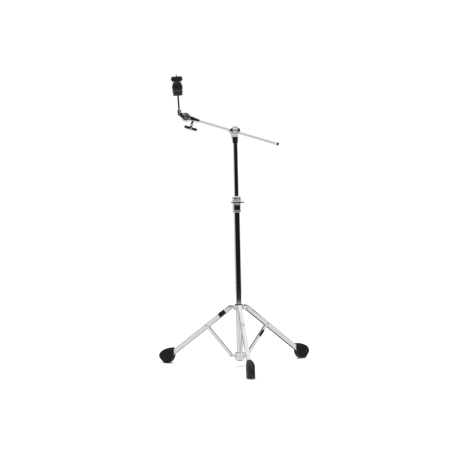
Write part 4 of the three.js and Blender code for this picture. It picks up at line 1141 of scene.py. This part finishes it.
tilter_bolt = turn(wing_bolt("tilter_body_wing_bolt", BOSS_DROP - BOOM_RADIUS), 180, "X")
move(tilter_bolt, BOLT_AT, 0, -BOSS_DROP - HAIR)
install(tilter_bolt, boom, cast_chrome, "tilter_wing_bolt", "tilter_wing_bolt")

# The arm: the same round cheek, drawn out to the holder of the cymbal rod.
ARM_REACH = 29
ARM_RISE = 26.5
HOLDER_RADIUS = 8
HOLDER_UP = 19
HOLDER_DOWN = 7
ROD_RADIUS = 4
rod_x = -ARM_REACH * math.cos(math.radians(ARM_RISE))
rod_foot = ARM_REACH * math.sin(math.radians(ARM_RISE))
rod_axis = Vector(joint["quick_nut_lift"]["axis"])
arm_pivot = Vector(joint["cymbal_tilt"]["pos_m"])
arm_place = rotation_to(arm_pivot, Vector((0, 1, 0)).cross(rod_axis), (0, 1, 0))

arm = turned(
    "tilter_arm_casting",
    [
        (0, CHEEK_GAP),
        (DRUM_RADIUS - 0.6, CHEEK_GAP),
        (DRUM_RADIUS, 0.8),
        (DRUM_RADIUS, DRUM_THICK - 3),
        (DRUM_RADIUS - 1.0, DRUM_THICK - 1),
        (DRUM_RADIUS - 2.6, DRUM_THICK),
        (11.4, DRUM_THICK),
        (11.4, DRUM_THICK - 2),
        (6.9, DRUM_THICK - 2),
        (6.9, DRUM_THICK),
        (0, DRUM_THICK),
    ],
    96,
)
turn(soften(arm, 0.35), 90, "X")
web = block("web", (-ARM_REACH, -DRUM_THICK + 0.5, -16), (0, -CHEEK_GAP, 16))
edit(web)
pick(web, lambda vertex: vertex.co.x < -1)
bpy.ops.transform.resize(value=(1, 1, 0.42), center_override=(-ARM_REACH, 0, 0))
done()
soften(web, 1.2, 4)
carve(web, turn(pin("cheek_room", 12.5, 0, 30, 64), 90, "X"))
turn(web, ARM_RISE, "Y")
fuse(arm, web)
holder = turned(
    "holder",
    [
        (0, rod_foot - HOLDER_DOWN),
        (HOLDER_RADIUS - 1.5, rod_foot - HOLDER_DOWN),
        (HOLDER_RADIUS, rod_foot - HOLDER_DOWN + 1.5),
        (HOLDER_RADIUS, rod_foot + HOLDER_UP - 8),
        (HOLDER_RADIUS - 0.6, rod_foot + HOLDER_UP - 7),
        (HOLDER_RADIUS - 0.6, rod_foot + HOLDER_UP - 1),
        (HOLDER_RADIUS - 1.6, rod_foot + HOLDER_UP),
        (0, rod_foot + HOLDER_UP),
    ],
    64,
)
move(soften(holder, 0.4), rod_x, 0, 0)
carve(holder, turn(pin("other_cheek_room", DRUM_RADIUS + HAIR + 0.1, -30, CHEEK_GAP, 96), 90, "X"))
fuse(arm, holder)
rod_way = pin("rod_way", ROD_RADIUS + HAIR, rod_foot - HOLDER_DOWN + 2, rod_foot + 60, 48)
carve(arm, move(rod_way, rod_x, 0, 0))
carve(arm, turn(pin("pivot_way", BOLT_RADIUS + HAIR, -30, 30), 90, "X"))
set_screw_height = rod_foot + HOLDER_UP - 5
screw_way = turn(pin("screw_way", SCREW_RADIUS + HAIR, rod_x, rod_x + 30), 90, "Y")
carve(arm, move(screw_way, 0, 0, set_screw_height))
install(arm, arm_place, cast_chrome, "cymbal_arm", "tilter_arm")

pivot_bolt = pin("tilter_hexagon_bolt", 5.2, DRUM_THICK + HAIR, DRUM_THICK + 3.5, 6)
soften(pivot_bolt, 0.5)
fuse(pivot_bolt, pin("shank", BOLT_RADIUS, -DRUM_THICK - 8, DRUM_THICK + 1, 40))
install(turn(pivot_bolt, 90, "X"), arm_place, cast_chrome, "cymbal_arm", "tilter_pivot_bolt")

lock_nut = soften(pin("tilter_hexagon_nut", 5.2, -DRUM_THICK - HAIR - 5, -DRUM_THICK - HAIR, 6), 0.5)
carve(lock_nut, pin("bore", BOLT_RADIUS + HAIR, -30, 0, 40))
install(turn(lock_nut, 90, "X"), arm_place, cast_chrome, "cymbal_arm", "tilter_lock_nut")

set_screw = turned(
    "rod_holder_screw",
    [
        (0, rod_x + ROD_RADIUS + HAIR),
        (SCREW_RADIUS, rod_x + ROD_RADIUS + HAIR),
        (SCREW_RADIUS, rod_x + HOLDER_RADIUS + HAIR),
        (3.68, rod_x + HOLDER_RADIUS + HAIR),
        (3.68, rod_x + HOLDER_RADIUS + HAIR + SCREW_HEAD_HEIGHT),
        (0, rod_x + HOLDER_RADIUS + HAIR + SCREW_HEAD_HEIGHT),
    ],
    40,
)
soften(set_screw, 0.3)
carve(set_screw, block("slot", (-0.5, -5, rod_x + HOLDER_RADIUS + 2), (0.5, 5, rod_x + HOLDER_RADIUS + 9)))
move(turn(set_screw, 90, "Y"), 0, 0, set_screw_height)
install(set_screw, arm_place, cast_chrome, "cymbal_arm", "rod_set_screw")

# ------------------------------------------------------------------ cymbal rod, seat and sleeve
# An 8 mm chromed rod with a thinner threaded tip. A moulded cup seat carries the felts, and a plastic
# sleeve keeps the cymbal and the felts off the metal.

rod_place = arm_place @ Matrix.Translation(metres(rod_x, 0, rod_foot))
SEAT_AT = 78
SEAT_TOP = SEAT_AT + 8.5
NUT_LOW = SEAT_AT + 52.2
ROD_TOP = SEAT_AT + 86.7
TIP_LENGTH = 13
THREAD_PITCH = 1.0
SLEEVE_RADIUS = 6

rod_outline = [(0, -HOLDER_DOWN + 2.3), (ROD_RADIUS, -HOLDER_DOWN + 2.3), (ROD_RADIUS, ROD_TOP - TIP_LENGTH)]
height = ROD_TOP - TIP_LENGTH + 1
while height < ROD_TOP - 1.5:
    rod_outline += [(2.65, height), (3.0, height + THREAD_PITCH / 2)]
    height += THREAD_PITCH
rod_outline += [(2.65, height), (2.2, ROD_TOP), (0, ROD_TOP)]
install(turned("cymbal_rod_bar", rod_outline, 48), rod_place, tube_chrome, "cymbal_arm", "cymbal_rod")

dark_plastic, light_plastic = (0.009, 0.010, 0.0125), (0.016, 0.017, 0.021)
black_plastic = moulded("black_plastic", "black_plastic", dark_plastic, light_plastic, 0.38, 1800)
seat = turned(
    "cup_seat",
    [
        (ROD_RADIUS + HAIR, SEAT_AT + 2.5),
        (16, SEAT_AT + 2.5),
        (19.5, SEAT_AT + 1.6),
        (21, SEAT_AT),
        (21.9, SEAT_AT + 0.2),
        (20.8, SEAT_AT + 2.2),
        (19, SEAT_AT + 3.6),
        (18.4, SEAT_AT + 5.5),
        (18.4, SEAT_TOP),
        (ROD_RADIUS + HAIR, SEAT_TOP),
        (ROD_RADIUS + HAIR, SEAT_AT + 2.5),
    ],
    96,
)
install(soften(seat, 0.3), rod_place, black_plastic, "cymbal_arm", "cymbal_seat")

sleeve_end = NUT_LOW - 2 * HAIR
rod_sleeve = tube("rod_plastic_sleeve", ROD_RADIUS + HAIR, SLEEVE_RADIUS, SEAT_TOP + HAIR, sleeve_end, 48)
install(rod_sleeve, rod_place, black_nylon, "cymbal_arm", "rod_sleeve")

# ------------------------------------------------------------------ felts
# Thick pressed-wool washers: a grey one on the seat, a black one on it, and a smaller grey one under the
# nut. Their edges are worn round, and loose fibres make the surface fuzzy and a little uneven.


def wool(name, slot, dark, light):
    """Pressed wool: mottled in tone, with a tangle of fine fibres that stand off the surface."""
    finish = Finish(name, slot, Roughness=0.95, Specular_IOR_Level=0.15, Sheen_Weight=0.08)
    mottle = finish.noise(180, 4)
    fibres = finish.noise(1400, 6)
    return finish.use(
        Base_Color=finish.blend(mottle * 0.6 + fibres * 0.4, dark, light),
        Normal=finish.relief(fibres + mottle, 0.9, 0.0006),
    )


grey_felt = wool("grey_wool_felt", "grey_felt", (0.034, 0.037, 0.043), (0.056, 0.060, 0.068))
black_felt = wool("black_wool_felt", "black_felt", (0.010, 0.0108, 0.0132), (0.019, 0.020, 0.024))


def felt(name, radius, low, high, round_over, finish, node):
    hole = SLEEVE_RADIUS + HAIR
    outline = [(hole, low), (radius - round_over, low)]
    for step in range(7):
        angle = math.radians(-90 + 30 * step) if step < 3 else math.radians(30 * (step - 3))
        centre = low + round_over if step < 3 else high - round_over
        out = radius - round_over * (1 - math.cos(angle))
        outline.append((out, centre + round_over * math.sin(angle)))
    outline += [(hole, high), (hole, low)]
    piece = turned(name, outline, 96)
    edit(piece)
    bpy.ops.mesh.subdivide(number_cuts=1)
    done()
    wool_grain = bpy.data.textures.new(name + "_grain", "CLOUDS")
    wool_grain.noise_scale = 2.5
    uneven = piece.modifiers.new("uneven", "DISPLACE")
    uneven.texture = wool_grain
    uneven.texture_coords = "LOCAL"
    uneven.strength = 0.5
    uneven.mid_level = 0.75
    apply(piece, uneven)
    install(piece, rod_place, finish, "cymbal_arm", node)


LOWER_FELT = 14.5
MIDDLE_FELT = 19
UPPER_FELT = 9
lower = SEAT_TOP + HAIR
middle = lower + LOWER_FELT + HAIR
upper = middle + MIDDLE_FELT + HAIR
felt("felt_on_seat", 21, lower, lower + LOWER_FELT, 2.6, grey_felt, "lower_felt")
felt("felt_above_it", 22, middle, middle + MIDDLE_FELT, 3.6, black_felt, "middle_felt")
felt("felt_under_nut", 18.5, upper, upper + UPPER_FELT, 2.2, grey_felt, "upper_felt")

# ------------------------------------------------------------------ quick-release nut
# A T-shaped nut moulded in black plastic. Its two ends hold spring buttons: squeezed together, they free
# the nut from the thread, and it lifts off. The stem is ribbed for grip.

BAR_LOW = NUT_LOW + 4.7
BAR_HIGH = NUT_LOW + 23.7
BAR_HALF = 21
BAR_DEEP = 10
BAR_MIDDLE = (BAR_LOW + BAR_HIGH) / 2
STEM_RADIUS = 12.2
BUTTON_RADIUS = 5.5
GRIP_PITCH = 5

nut = block("quick_release_nut", (-BAR_HALF, -BAR_DEEP, BAR_LOW), (BAR_HALF, BAR_DEEP, BAR_HIGH))
soften(nut, 1.5, 4)
stem_outline = [
    (0, NUT_LOW),
    (STEM_RADIUS - 0.6, NUT_LOW),
    (STEM_RADIUS, NUT_LOW + 0.8),
    (STEM_RADIUS, BAR_LOW + 3),
    (0, BAR_LOW + 3),
]
fuse(nut, soften(turned("stem", stem_outline, 72), 0.3))
ring_outline = [(0, BAR_HIGH - 1), (7.5, BAR_HIGH - 1), (7.5, BAR_HIGH - 0.2), (0, BAR_HIGH - 0.2)]
fuse(nut, soften(turned("ring", ring_outline, 64), 0.3))
for index in range(-2, 3):
    for side in (1, -1):
        x, y = index * GRIP_PITCH, side * BAR_DEEP
        carve(nut, block("groove", (x - 0.7, y - 0.6, BAR_LOW + 4), (x + 0.7, y + 0.6, BAR_HIGH - 4)))
carve(nut, pin("rod_way", ROD_RADIUS + HAIR, NUT_LOW - 1, BAR_HIGH + 5, 48))
for side in (1, -1):
    pocket = turn(pin("pocket", BUTTON_RADIUS + HAIR, BAR_HALF - 6.6, BAR_HALF + 5, 48), 90 * side, "Y")
    carve(nut, move(pocket, 0, 0, BAR_MIDDLE))
install(nut, rod_place, black_plastic, "quick_nut", "quick_nut")

for side, word in ((1, "right"), (-1, "left")):
    button = turned(
        f"release_button_{word}",
        [
            (0, BAR_HALF - 4),
            (BUTTON_RADIUS, BAR_HALF - 4),
            (BUTTON_RADIUS, BAR_HALF + 1.6),
            (BUTTON_RADIUS - 1.1, BAR_HALF + 2.6),
            (0, BAR_HALF + 2.8),
        ],
        48,
    )
    turn(soften(button, 0.4), 90 * side, "Y")
    move(button, 0, 0, BAR_MIDDLE)
    install(button, rod_place, black_plastic, f"nut_button_{word}", f"nut_button_{word}")

bpy.data.objects.remove(pattern, do_unlink=True)

# ------------------------------------------------------------------ studio
# A pale floor in a bright room. The camera stands a little to the left of the front leg, at half the
# stand's height, and the room is dark around it, which is what the upright chrome shows.

CAMERA_AZIMUTH = -6.3
CAMERA_DISTANCE = 3.9
CAMERA_HEIGHT = 0.568
CAMERA_LEFT = 0.039
CAMERA_ROLL = 1.23
CAMERA_LENS = 75.2

azimuth = math.radians(CAMERA_AZIMUTH)
forward = Vector((-math.sin(azimuth), math.cos(azimuth), 0))
right = forward.cross(UP)
roll = math.radians(CAMERA_ROLL)
camera_x = right * math.cos(roll) - UP * math.sin(roll)
camera_y = right * math.sin(roll) + UP * math.cos(roll)
eye_point = column.translation - forward * CAMERA_DISTANCE - right * CAMERA_LEFT + UP * CAMERA_HEIGHT
bpy.ops.object.select_all(action="DESELECT")
bpy.ops.object.camera_add()
camera = bpy.context.object
camera.name = "camera"
camera.matrix_world = rotation_to(eye_point, camera_x, camera_y)
camera.data.lens = CAMERA_LENS
camera.data.sensor_width = 36
bpy.context.scene.camera = camera
bpy.context.scene.view_settings.view_transform = "Standard"

bpy.ops.object.select_all(action="DESELECT")
bpy.ops.mesh.primitive_plane_add(size=1, location=(0, 1.3, 0))
floor = named("floor")
floor.scale = (14, 6, 1)
bpy.ops.object.transform_apply(location=True, rotation=True, scale=True)
paper = Finish("pale_paper", "rubber", Roughness=0.9)
paper.use(Base_Color=paper.blend(paper.noise(3, 2), (0.93, 0.93, 0.93), (0.95, 0.95, 0.95)))
floor.data.materials.append(paper.material)
floor.visible_glossy = False

SOFTBOXES = (
    ("ceiling", (0, 2.5, 5.0), 9, 500, False),
    ("key_softbox", (-2.2, -1.6, 3.2), 1.2, 9, True),
    ("fill_softbox", (2.6, -0.6, 2.8), 1.2, 6, True),
)
for name, spot, size, power, mirrored in SOFTBOXES:
    bpy.ops.object.light_add(type="AREA", location=spot)
    lamp = bpy.context.object
    lamp.name = name
    lamp.data.size = size
    lamp.data.energy = power
    lamp.visible_glossy = mirrored
    lamp.rotation_euler = (Vector((0, 0.1, 0.5)) - Vector(spot)).to_track_quat("-Z", "Y").to_euler()

world = bpy.data.worlds.new("bright_room")
bpy.context.scene.world = world
world.use_nodes = True
room = Nodes(world.node_tree)
background = room.tree.nodes["Background"]
background.inputs["Color"].default_value = (1, 1, 1, 1)
direction = room.add("TexCoord", output="Generated")
x = room.add("SeparateXYZ", inputs={0: direction}, output="X")
y = room.add("SeparateXYZ", inputs={0: direction}, output="Y")
z = room.add("SeparateXYZ", inputs={0: direction}, output="Z")


def ramp(value, start, end):
    """0 before start, 1 after end and smooth between them."""
    settings = {"interpolation_type": "SMOOTHSTEP"}
    return room.add("MapRange", settings, {"Value": value, "From Min": start, "From Max": end})


# The dark part of the room: a band at eye level on the camera's side, wider above, with a pale gap right
# behind the camera. The floor shows pale below it.
bearing = room.add("Math", {"operation": "ARCTAN2"}, {0: x, 1: y * -1})
band = ramp(z, -0.084, -0.078) * (1 - ramp(z, 0.40, 0.52))
front = ramp(bearing, -1.55, -1.40) * (1 - ramp(bearing, 2.0, 2.3))
overhead = ramp(z, 0.09, 0.13) * (1 - ramp(z, 0.40, 0.52))
around = ramp(bearing, -2.3, -2.1) * (1 - ramp(bearing, 2.5, 2.8))
dark = room.add("Math", {"operation": "MAXIMUM"}, {0: band * front, 1: overhead * around})
lamp_gap = ramp(bearing, -0.25, -0.12) * (1 - ramp(bearing, 0.3, 0.5)) * ramp(z, 0.17, 0.25)
behind = ramp(y, 0.93, 0.97) * ramp(z, -0.5, -0.3) * (1 - ramp(z, 0.3, 0.5))
side = ramp(bearing, -2.1, -2.0) * (1 - ramp(bearing, -1.85, -1.75)) * ramp(z, -0.2, -0.1)
under = ramp(z, -0.62, -0.50) * (1 - ramp(z, -0.36, -0.26))
sky = ramp(z, -0.1, 0.5) * 0.16 + 0.76
glow = sky - dark * (1 - lamp_gap) * 0.90 - behind * 0.5 - side * 0.35 - under * 0.25
seen = room.add("LightPath", output="Is Camera Ray")
kept = room.add("Math", {"operation": "MAXIMUM"}, {0: glow, 1: 0.012})
strength = room.add("Mix", {"data_type": "FLOAT"}, {0: seen, 2: kept, 3: 1.05})
connect(room.tree, background.inputs["Strength"], strength)
